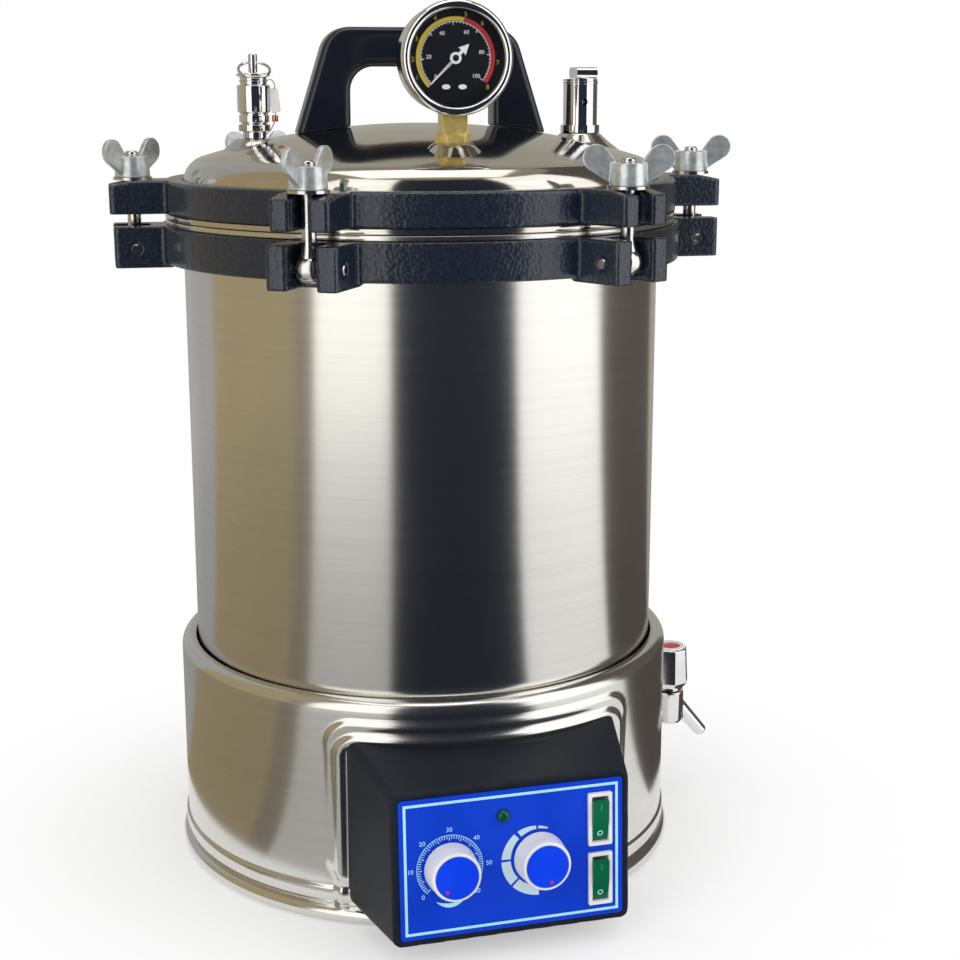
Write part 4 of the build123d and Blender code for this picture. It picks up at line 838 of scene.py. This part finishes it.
def grown(tree, name, values, base=None):
    """Runs a node tree once and returns the mesh that it makes."""
    holder = bpy.data.objects.new(name, base or bpy.data.meshes.new(name))
    modifier = holder.modifiers.new("nodes", "NODES")
    modifier.node_group = tree
    for item in tree.interface.items_tree:
        if item.in_out == "INPUT" and item.name in values:
            modifier[item.identifier] = values[item.name]
    return settled(holder)


marks_on_an_arc = arc_tree()
print("mark tree has", len(marks_on_an_arc.nodes), "nodes")


# %% Marks and figures along an arc
def arc_marks(count, radius, start, step, size, finish, place):
    """Blocks along an arc; sizes in millimetres, angles in degrees."""
    length, width, thickness = size
    values = {"Count": count, "Radius": radius * MM, "Start": radians(start),
              "Step": radians(step), "Length": length * MM, "Width": width * MM,
              "Thickness": thickness * MM, "Finish": finishes[finish]}
    mesh = grown(marks_on_an_arc, "marks", values)
    mesh.transform(place)
    return mesh


def numeral(text, size, place):
    """A plain figure as a thin solid, centred on its place."""
    curve = bpy.data.curves.new("figure", "FONT")
    curve.body = text
    curve.size = size * MM
    curve.align_x = curve.align_y = "CENTER"
    curve.extrude = 0.04 * MM
    curve.resolution_u = 3
    result = settled(bpy.data.objects.new("figure", curve))
    result.transform(place)
    return result


def figures(angles, reach, size, place):
    """Plain figures round a centre, each at its angle in degrees."""
    return [numeral(text, size, at(place, *polar(reach, radians(angle)), ink / 2))
            for text, angle in angles.items()]


# %% [markdown]
# ## The pressure gauge
#
# A yellow band turns red near the top of the range, with fine white divisions inside it and small
# plain figures on both sides. The bezel's rolled edge carries the brightest line.

# %% Print the dial
dial_low, dial_high = node_size("gauge_dial")
dial_centre = (dial_low + dial_high) / 2
gauge_frame = framed((dial_centre.x, dial_low.y, dial_centre.z), (1, 0, 0), (0, 0, 1))
scale_start, red_start, scale_end = 226.0, 77.0, -38.0
band_radii = (19.4, 21.5)
bands = {"yellow": (red_start, scale_start), "red": (scale_end, red_start)}
for colour, (start, end) in bands.items():
    shown(printed([sector(start, end, *band_radii)], gauge_frame), f"dial_band_{colour}",
          f"dial_{colour}", "lid")
white_print = [
    arc_marks(45, 18.5, scale_end, 6.0, (0.8, 0.30, 2 * ink), "pointer_white", gauge_frame),
    arc_marks(7, 18.0, scale_end, 44.0, (1.8, 0.40, 2 * ink), "pointer_white", gauge_frame),
    printed([sector(scale_end, scale_start, 18.8, 19.1)], gauge_frame),
    printed([oval((-5.2, -15.0), 2.3, 1.3), oval((3.8, -15.0), 2.3, 1.3)], gauge_frame),
]
inner_angles = {"0": 222, "20": 178, "40": 120, "60": 66, "80": 12, "100": -40}
outer_angles = {"1": 206, "2": 182, "3": 155, "4": 118, "5": 76, "6": 51, "7": -6, "8": -41}
inner_reach, inner_size, outer_reach, outer_size = 14.6, 3.0, 23.2, 3.5
white_print += figures(inner_angles, inner_reach, inner_size, gauge_frame)
yellow_print = figures(outer_angles, outer_reach, outer_size, gauge_frame)
shown(merged(white_print), "dial_white_print", "pointer_white", "lid")
shown(merged(yellow_print), "dial_yellow_figures", "dial_yellow", "lid")
print("dial printed with", len(inner_angles) + len(outer_angles), "figures")

# %% Pointer, bezel and fitting
pointer_front = (dial_low.y - node_size("gauge_pointer")[0].y) - 0.9
needle_turn = 225.0
needle_place = gauge_frame @ Matrix.Rotation(radians(needle_turn), 4, "Z")
needle_back = pointer_front - 0.6
taper = [(0.0, 0.9), (19.3, 0.3), (19.3, -0.3), (0.0, -0.9)]
arrow = [(0.0, 0.9), (0.0, -0.9), (-5.2, -0.9), (-4.8, -2.8), (-10.4, 0.0), (-4.8, 2.8),
         (-5.2, 0.9)]
eye = oval((0.0, 0.0), 3.1, 3.1, 40)
needle = bmesh.new()
for outline, behind, proud in ((taper, 0.0, 0.0), (arrow, 0.0, 0.0), (eye, 0.1, 0.15)):
    prism(needle, outline, needle_back - behind, pointer_front + proud, needle_place)
shown(closed_mesh(needle, 30.0, 1e-7), "gauge_needle", "pointer_white", "gauge_pointer",
      "gauge_pointer")
hub = [(0.0, 0.75), (1.1, 0.7), (1.7, 0.4), (1.8, -0.4), (0.0, -0.4)]
shown(spun(hub, 40, at(gauge_frame, 0.0, 0.0, pointer_front)), "needle_hub", "dial_black",
      "gauge_pointer")
bezel_low, bezel_high = node_size("gauge_bezel")
bezel_radius = (bezel_high.x - bezel_low.x) / 2
front, back = dial_low.y - bezel_low.y, dial_low.y - bezel_high.y
rolled_edge = [(0.0, -3.0), (-0.15, -2.0), (-0.6, -1.1), (-1.3, -0.4), (-2.2, 0.0), (-3.1, -0.1),
               (-3.9, -0.5), (-4.6, -1.2), (-4.8, -1.8), (-1.3, -1.8)]
bezel_profile = [(bezel_radius, back), *offset(rolled_edge, bezel_radius, front),
                 (bezel_radius - 1.3, back)]
shown(spun(bezel_profile, 144, gauge_frame, True, 50.0), "gauge_bezel_ring", "chrome", "lid",
      "gauge_bezel")
shown(cast_copy("gauge_fitting", 0.34, 2, 30.0), "gauge_fitting_turned", "brass", "lid",
      "gauge_fitting")
print("gauge finished")

# %% [markdown]
# ## The control panel
#
# The label is a blue sheet with a pale border. The timer has a comb of sixty minutes under a thin
# arc, and the temperature scale is a wedge cut into five. Words are left off, plain figures stay.
# Each knob is a white cone with a blue disc and a red dot.

# %% Print the border and the timer
panel_across = Vector((*polar(1.0, base_turn), 0.0))
panel_lean = radians(3.2)
panel_out = Vector((*polar(1.0, front_turn), 0.0))
panel_normal = panel_out * cos(panel_lean) + Vector((0.0, 0.0, sin(panel_lean)))
panel_up = panel_normal.cross(panel_across)
panel_reach, panel_height, label_proud = 190.0, 57.1, 0.3
panel_origin = panel_out * panel_reach + Vector((0.0, 0.0, panel_height))
panel_frame = framed(panel_origin + panel_normal * label_proud, panel_across, panel_up)
timer_spot, temperature_spot = (-35.5, -0.7), (15.0, -0.9)
timer_frame, temperature_frame = at(panel_frame, *timer_spot), at(panel_frame, *temperature_spot)


def box_loop(left, right, low, high):
    return [(left, low), (right, low), (right, high), (left, high)]


def border_loops(half_width, low, high, width):
    """The four strips of a rectangular border."""
    inner = half_width - width
    return [box_loop(-half_width, half_width, low, low + width),
            box_loop(-half_width, half_width, high - width, high),
            box_loop(-half_width, -inner, low + width, high - width),
            box_loop(inner, half_width, low + width, high - width)]


crescent_start, crescent_end = 247.0, 293.0


def crescent_edge(angle):
    """The outer radius of the crescent under the timer, widest in its middle."""
    share = (angle - crescent_start) / (crescent_end - crescent_start)
    return 20.3 + 2.3 * sin(pi * share)


pale_print = [
    arc_marks(61, 17.4, -45.0, 4.5, (2.0, 0.42, 2 * ink), "print_pale", timer_frame),
    arc_marks(13, 17.0, -45.0, 22.5, (2.9, 0.55, 2 * ink), "print_pale", timer_frame),
    printed(border_loops(60.9, -37.0, 36.9, 1.5), panel_frame),
    printed([sector(-45.5, 225.5, 18.3, 18.6)], timer_frame),
    printed([sector(crescent_start, crescent_end, 20.2, crescent_edge)], timer_frame),
]
timer_angles = {"0": 225, "20": 135, "30": 90, "40": 45, "60": -45}
pale_print += figures(timer_angles, 21.4, 3.6, timer_frame)
pale_print += figures({"10": 180, "50": 0}, 22.0, 3.6, timer_frame)
shown(merged(pale_print), "label_pale_print", "print_pale", "root")
print("border and timer printed")

# %% Print the temperature scale
wedge_inner = 16.2
wedge_widths = [(60.0, 0.7), (72.0, 0.9), (92.0, 1.7), (110.0, 2.7), (134.0, 4.0), (180.0, 5.3),
                (269.0, 5.7), (280.0, 5.7)]


def wedge_outer(angle):
    """The outer radius of the temperature scale at an angle, in straight steps between widths."""
    for (a, wide_a), (b, wide_b) in zip(wedge_widths, wedge_widths[1:]):
        if a <= angle <= b:
            return wedge_inner + wide_a + (wide_b - wide_a) * (angle - a) / (b - a)


wedges = [sector(start, end, wedge_inner, wedge_outer)
          for start, end in ((72, 91), (95, 128), (134, 178), (182, 221), (225, 269))]
shown(printed(wedges, temperature_frame), "label_temperature_scale", "print_grey", "root")
print("temperature scale printed")


# %% Knobs, their discs and their dots
def dress_knob(name, place, dot_turn):
    """Replaces a packed knob and its disc with turned ones; the height comes from the disc."""
    body = name + "_knob"
    foot, face, gap, lip = 14.6, 13.2, 0.35, 0.1
    dot_reach, dot_radius = 9.2, 0.95
    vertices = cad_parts[body + "_cap"].data.vertices
    face_height = max((place.inverted() @ vertex.co).z for vertex in vertices) / MM
    height = face_height - gap - lip
    cone = [(0.0, 0.0), (foot - 0.5, 0.0), (foot, 0.6), (foot, 1.4)]
    cone += offset([(0.5, -1.6), (0.25, -0.7), (-0.4, 0.0), (-1.1, 0.0), (-1.15, -0.6)], face,
                   height)
    cone.append((0.0, height - 0.6))
    shown(spun(rounded(cone, 0.5), 96, at(place, 0.0, 0.0, gap)), body + "_turned", "knob_white",
          body, body)
    disc = [(0.0, -0.7), (11.7, -0.7), (11.9, -0.25), (11.5, 0.0), (0.0, 0.0)]
    shown(spun(rounded(disc, 0.2), 96, at(place, 0.0, 0.0, face_height)), body + "_disc",
          "knob_blue", body, body + "_cap")
    dot = oval(polar(dot_reach, radians(dot_turn)), dot_radius, dot_radius)
    shown(printed([dot], place, face_height - 0.05, face_height + 0.08), body + "_dot", "dot_red",
          body)


dress_knob("timer", timer_frame, 233.0)
dress_knob("temperature", temperature_frame, -77.0)
print("knobs finished")

# %% [markdown]
# ## Switches and lamp
#
# A rocker tilts in its frame, so a ray is sent into the imported rocker and each mark is laid where
# it lands. The lamp is a small green lens, and a painted highlight, a bright green point just under
# its skin, stands in for a reflection.


# %% Marks that land on imported parts
def landing(node, place, across, up, start_out=40.0):
    """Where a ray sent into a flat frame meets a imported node, as a frame on its surface."""
    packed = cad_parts[node].data
    tree = BVHTree.FromPolygons([v.co for v in packed.vertices],
                                [p.vertices for p in packed.polygons])
    axes = place.to_3x3()
    start = place @ mm(across, up, start_out)
    spot, normal, _, _ = tree.ray_cast(start, -(axes @ Vector((0, 0, 1))))
    side = axes @ Vector((1, 0, 0))
    side -= normal * side.dot(normal)
    return framed(spot / MM, side, normal.cross(side))


switch_across = 50.1
switch_heights = {"upper": 17.0, "lower": -17.4}
ring_drop, bar_rise = 8.3, 7.2
mark_low, mark_high = -0.02, 0.12
off_ring = [sector(start, start + 180.0, 1.1, 1.65) for start in (0.0, 180.0)]
on_bar = [box_loop(-0.3, 0.3, -1.9, 1.9)]
for name, up in switch_heights.items():
    body = f"rocker_{name}"
    ring_at = landing(body, panel_frame, switch_across, up - ring_drop)
    bar_at = landing(body, panel_frame, switch_across, up + bar_rise)
    shown(printed(off_ring, ring_at, mark_low, mark_high), body + "_off_ring", "print_pale", body)
    shown(printed(on_bar, bar_at, mark_low, mark_high), body + "_on_bar", "rocker_mark", body)
lamp_frame = at(panel_frame, -5.3, 25.0)
lens = [(0.0, 0.1), (3.65, 0.1), (3.65, 0.6), (3.2, 1.5), (2.2, 2.2), (1.1, 2.55), (0.0, 2.65)]
shown(spun(lens, 48, lamp_frame, angle=60.0), "lamp_lens", "lamp_green", "root")
# Painted highlight: a bright green spot just under the lens's skin stands in for a reflection; the
# lamp is not lit.
glint = [(0.0, 2.5), (0.9, 2.45), (0.95, 2.62), (0.5, 2.78), (0.0, 2.82)]
shown(spun(glint, 32, at(lamp_frame, -0.4, -0.5), angle=60.0), "lamp_glint", "lamp_lit", "root")
print("switches and lamp marked")

# %% [markdown]
# ## The drain tap
#
# The tap's knob is an eight-sided chrome cap with a domed red disc set into a pale rim.

# %% Dress the tap
knob_low, knob_high = node_size("tap_knob")
knob_centre = (knob_low + knob_high) / 2
disc_top = knob_high.z + 0.1
tap_reach = hypot(knob_centre.x, knob_centre.y)
tap_frame = around(atan2(knob_centre.y, knob_centre.x), tap_reach, disc_top)
cast("tap_body", "chrome", "root", 0.42, 3, 50.0)
cast("tap_knob", "chrome", "tap_knob", 0.3, 3, 35.0)
disc = [(0.0, -1.6), (6.2, -1.6), (6.35, -0.9), (5.8, -0.4), (3.5, -0.1), (0.0, 0.0)]
shown(spun(disc, 64, tap_frame, angle=50.0), "tap_red_disc", "tap_red", "tap_knob")
rim = [(6.4, -1.0), (9.8, -1.0), (10.0, -0.2), (9.5, 0.35), (7.6, 0.45), (6.5, 0.1)]
shown(spun(rim, 64, tap_frame, True, 50.0), "tap_pale_rim", "switch_white", "tap_knob")
print("tap finished")

# %% [markdown]
# ## Safety valve and release valve
#
# Both valves are bright turned parts, so their edges need real rounding. A seal hangs beside the
# safety valve: a clear tag on a thin wire, closed by a copper ferrule.

# %% Turn the safety valve
safety_turn, boss_top = boss_tops["safety"]
safety_frame = around(safety_turn, boss_circle)
collar_low, collar_high = 445.6, 449.9
body_top, neck_top = 466.8, 471.7
flange_top = node_size("safety_valve_body")[1].z
safety_profile = rounded([
    (5.4, boss_top - 10.0), (5.4, boss_top), (6.9, boss_top + 0.4), (6.9, collar_low - 5.2),
    (8.9, collar_low - 4.9), (8.9, collar_low - 1.2), (7.4, collar_low - 0.8),
    (7.4, collar_low), (8.8, collar_low), (8.8, collar_high), (8.1, collar_high),
    (8.1, collar_high + 1.2), (9.6, collar_high + 1.6), (9.6, body_top), (7.8, body_top + 0.3),
    (7.8, neck_top), (9.7, neck_top + 0.2), (9.7, flange_top), (3.2, flange_top),
    (3.2, flange_top - 3.0),
], 0.55)
shown(spun(safety_profile, 96, safety_frame, True, 40.0), "safety_valve_turned", "chrome", "lid",
      "safety_valve_body")
knurl_frame = around(safety_turn, boss_circle, collar_low - 3.05)
knurl = arc_marks(36, 8.8, 0.0, 10.0, (0.7, 0.8, 3.4), "chrome", knurl_frame)
shown(merged([knurl]), "safety_valve_knurl", "chrome", "lid")
print("safety valve turned")


# %% Hang the seal
def wire(points, radius, sides=12):
    """A round wire through a list of places; its radius is in millimetres."""
    rows = []
    for k, spot in enumerate(points):
        along = (points[min(k + 1, len(points) - 1)] - points[max(k - 1, 0)]).normalized()
        side = along.cross(Vector((0.31, 0.17, 0.93))).normalized()
        other = along.cross(side)
        rows.append([spot + (side * cos(t) + other * sin(t)) * radius * MM for t in turns(sides)])
    return skin(rows)


def bent(corners):
    """A smooth path through corners, by repeated corner cutting."""
    path = [mm(*corner) for corner in corners]
    for _ in range(3):
        fresh = [path[0]]
        for a, b in zip(path, path[1:]):
            fresh += [a.lerp(b, 0.25), a.lerp(b, 0.75)]
        path = fresh + [path[-1]]
    return path


valve_centre = Vector((-boss_circle, 0.0, 0.0))
view_right = Vector((*polar(1.0, view_turn), 0.0))
view_near = Vector((*polar(1.0, view_turn - pi / 2), 0.0))


def beside(right, near, height):
    """A place next to the safety valve: to the right as seen by the camera, nearer, and up."""
    return valve_centre + view_right * right + view_near * near + Vector((0, 0, height))


tag_lean = Matrix.Rotation(radians(14.0), 4, "Z")
tag_frame = framed(beside(12.2, 1.0, 458.2), view_right, (0.12, 0.0, 1.0)) @ tag_lean
tag_outline = [(-2.5, -7.2), (2.0, -7.2), (2.6, -6.4), (2.9, 5.6), (1.6, 7.4), (-1.4, 7.4),
               (-2.7, 6.2)]
shown(printed([tag_outline], tag_frame, -0.45, 0.45), "seal_tag", "seal_film", "lid")
loop = [(7.6, 2.0, 469.3), (10.5, 3.2, 470.6), (12.6, 1.2, 468.0), (12.3, 1.0, 464.4)]
tail = [(12.6, 1.0, 451.6), (12.4, 1.3, 449.5), (12.2, 1.2, 446.4), (9.5, 1.0, 441.0),
        (7.0, 0.6, 439.0)]
strands = [wire(bent([beside(*spot) for spot in path]), 0.38) for path in (loop, tail)]
neck_loop = [safety_frame @ mm(*polar(8.1, t), 469.3) for t in turns(48)]
strands.append(wire(neck_loop + neck_loop[:1], 0.36))
shown(merged(strands, 60.0), "seal_wire", "steel", "lid")
ferrule = [(0.0, -1.9), (1.5, -1.9), (1.8, -1.5), (1.8, 1.5), (1.5, 1.9), (0.0, 1.9)]
ferrule_frame = Matrix.Translation(beside(12.3, 1.2, 448.0) * MM)
shown(spun(ferrule, 32, ferrule_frame, angle=50.0), "seal_ferrule", "copper", "lid")
print("seal hung")

# %% Turn the foot and the band of the release valve
release_top = boss_tops["release"][1]
release_rings = {
    "foot": rounded([(10.4, release_top + 0.1), (11.7, release_top + 0.3), (11.7, 442.9),
                     (10.4, 443.2)], 0.5),
    "band": [(10.25, 467.4), (10.6, 467.7), (10.6, 468.9), (10.25, 469.2)],
}
for part, profile in release_rings.items():
    shown(spun(profile, 96, around(0.0, boss_circle), True, 40.0), f"release_valve_{part}",
          "chrome", "lid")
print("release valve finished")

# %% [markdown]
# ## Threads and swing bolts
#
# A thread is a ridge that climbs one pitch for each turn. Each bolt is a ball spun about its pin's
# axis and a rod spun about its own, sunk into the ball so that no gap shows.

# %% Wind the threads
bolt_low, bolt_high = node_size("eye_bolt_1")
bolt_circle = (bolt_low.x + bolt_high.x) / 2
core_radius, thread_pitch = 3.75, 1.25
thread_low, thread_high = bolt_high.z - 32.0, bolt_high.z - 1.0
thread_ridge = [(-0.42, -0.1, 0.0), (0.0, 0.0, 0.32), (0.42, -0.1, 0.0)]


def thread(centre, sides=24):
    """A ridge wound round a rod, as rows of three across its crest; it fades at both ends."""
    steps = int((thread_high - thread_low) / thread_pitch * sides)
    fade_steps = sides / 2
    rows = []
    for k in range(steps + 1):
        fade = min(1.0, k / fade_steps, (steps - k) / fade_steps)
        height = thread_low + thread_pitch * k / sides
        rows.append([mm(*polar(core_radius + sunk + crest * fade, 2 * pi * k / sides, centre),
                        height + rise) for rise, sunk, crest in thread_ridge])
    return skin(rows, angle=20.0)


for number, turn in bolt_turns.items():
    spiral = thread(polar(bolt_circle, turn))
    shown(spiral, f"bolt_thread_{number}", "steel", f"eye_bolt_{number}")
print("threads wound")


# %% Turn the swing bolts
def swing_bolt(turn):
    """One bolt, its ball round the pin and its rod standing up."""
    half = bolt_high.y
    ball_radius = (bolt_high.x - bolt_low.x) / 2
    pin_height = bolt_low.z + ball_radius
    end = bolt_high.z - pin_height
    ball = [(3.1, -half + 0.3), (3.5, -half), (4.8, -half), (6.2, -half + 1.0),
            (7.2, -half + 2.5), (ball_radius, -1.6)]
    ball += [(radius, -height) for radius, height in ball[::-1]]
    rod = [(0.0, 3.6), (3.9, 3.6), (3.9, end - 1.2), (3.1, end - 0.2), (0.0, end)]
    neck = [(0.0, 5.0), (5.6, 5.0), (4.9, 7.6), (4.2, 9.6), (3.95, 11.5), (0.0, 11.5)]
    spoke = around(turn, bolt_circle, pin_height)
    across = spoke @ Matrix.Rotation(pi / 2, 4, "X")
    return merged([spun(rounded(ball, 0.5), 64, across, True),
                   spun(rounded(rod, 0.4), 40, spoke), spun(neck, 40, spoke)], 50.0)


for number, turn in bolt_turns.items():
    bolt = f"eye_bolt_{number}"
    shown(swing_bolt(turn), bolt + "_forged", "steel", bolt, bolt)
print("swing bolts turned")

# %% [markdown]
# ## The basket
#
# The wall is one small tile, a square of sheet with an eight-sided hole, repeated on a grid by a
# node tree. The tree then bends the sheet, so that distance along it becomes an angle.


# %% A tile, and a node tree that repeats it and bends the sheet
def tile_mesh(pitch, hole, sheet):
    """A square of sheet with an eight-sided hole, flat in X and Z; sizes in millimetres."""
    work = bmesh.new()
    square = [polar(pitch / 2 / max(abs(cos(t)), abs(sin(t))), t) for t in turns(8)]
    opening = [polar(hole, t) for t in turns(8)]
    rings = [[work.verts.new(mm(x, depth, z)) for x, z in outline]
             for depth in (0.0, -sheet) for outline in (square, opening)]
    outer, inner, rear_outer, rear_inner = rings
    for k in range(8):
        n = (k + 1) % 8
        work.faces.new((outer[k], outer[n], inner[n], inner[k]))
        work.faces.new((rear_outer[n], rear_outer[k], rear_inner[k], rear_inner[n]))
        work.faces.new((inner[k], inner[n], rear_inner[n], rear_inner[k]))
    mesh = bpy.data.meshes.new("tile")
    work.to_mesh(mesh)
    work.free()
    return mesh


def sheet_tree():
    graph, given = geometry_tree("perforated_sheet", Tile="Geometry", Columns="Int", Rows="Int",
                                 Pitch="Float", Radius="Float", Foot="Float")
    index = graph.add("GeometryNodeInputIndex")
    columns, pitch = given("Columns"), given("Pitch")
    across = (index % columns) * pitch
    up = given("Foot") + (index / columns).through("FLOOR") * pitch
    spot = graph.add("ShaderNodeCombineXYZ", {"X": across, "Z": up})
    solid = copies(graph, columns * given("Rows"), spot, given("Tile"))
    place = graph.add("ShaderNodeSeparateXYZ", [graph.add("GeometryNodeInputPosition")])
    angle = place.output("X") * (2 * pi) / (columns * pitch)
    reach = given("Radius") + place.output("Y")
    x, y = (reach * angle.through(wave) for wave in ("COSINE", "SINE"))
    bent_place = graph.add("ShaderNodeCombineXYZ", [x, y, place.output("Z")])
    bent_sheet = graph.add("GeometryNodeSetPosition", {"Geometry": solid, "Position": bent_place})
    joint = {"Geometry": bent_sheet, "Distance": 0.00001}
    joined = graph.add("GeometryNodeMergeByDistance", joint)
    return hand_out(graph, joined, given("Finish"))


# %% Grow the basket's wall
basket_low, basket_high = node_size("basket")
basket_gap, basket_sheet, hole_radius = 15.0, 1.2, 2.4
basket_radius = pot_bore - basket_gap
inner_radius = basket_radius - basket_sheet
floor_z = basket_low.z
wall_foot = floor_z + 10.0
columns, rows = 88, 16
pitch = 2 * pi * basket_radius / columns
wall_top = wall_foot + pitch * rows
sheet_values = {"Columns": columns, "Rows": rows, "Pitch": pitch * MM,
                "Radius": basket_radius * MM, "Foot": (wall_foot + pitch / 2) * MM,
                "Finish": finishes["inner_stainless"]}
tile = tile_mesh(pitch, hole_radius, basket_sheet)
basket_wall = grown(sheet_tree(), "basket_wall", sheet_values, tile)
print("basket wall has", columns * rows, "holes")

# %% Add the basket's floor, its rim and its ears
lap = 0.02
floor_profile = rounded([
    (0.0, floor_z), (basket_radius - 6.0, floor_z), (basket_radius - 2.0, floor_z + 1.4),
    (basket_radius, floor_z + 5.5), (basket_radius, wall_foot + lap),
    (inner_radius, wall_foot + lap), (inner_radius, floor_z + 6.0),
    (basket_radius - 2.8, floor_z + 2.4), (basket_radius - 6.4, floor_z + basket_sheet),
    (0.0, floor_z + basket_sheet),
], 0.6)
rim_z = basket_high.z - 9.0
rim_roll = 2.4
rim_profile = [(inner_radius, wall_top - lap), (basket_radius, wall_top - lap)]
rim_profile += arc((basket_radius + 1.2, rim_z - rim_roll), rim_roll, -120.0, 120.0, 12)
rim_profile.append((inner_radius, rim_z))
ear_half = 8.0
ear_outline = [(-ear_half, 4.0), (-ear_half, -6.0), (ear_half, -6.0), (ear_half, 4.0)]
ear_outline += [(ear_half * cos(radians(t)), 4.0 + 5.0 * sin(radians(t)))
                for t in range(15, 180, 15)]
basket_parts = [basket_wall, spun(floor_profile, 176), spun(rim_profile, 176, loop=True)]
for side in (1, -1):
    ear_place = framed((side * (basket_radius - 1.6), 0.0, rim_z), (0, side, 0), (0, 0, 1))
    basket_parts.append(printed([ear_outline], ear_place, 0.0, 1.6))
shown(merged(basket_parts, 40.0), "basket_perforated", "inner_stainless", "basket", "basket")
print("basket finished")

# %% [markdown]
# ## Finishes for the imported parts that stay
#
# Pins, washers, the heating element and many more need only the finish that their slot names.

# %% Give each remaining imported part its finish
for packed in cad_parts.values():
    names = [material.name.split(".")[0] for material in packed.data.materials]
    for place, name in enumerate(names):
        packed.data.materials[place] = finishes[name]
print(len(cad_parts), "packed parts finished")
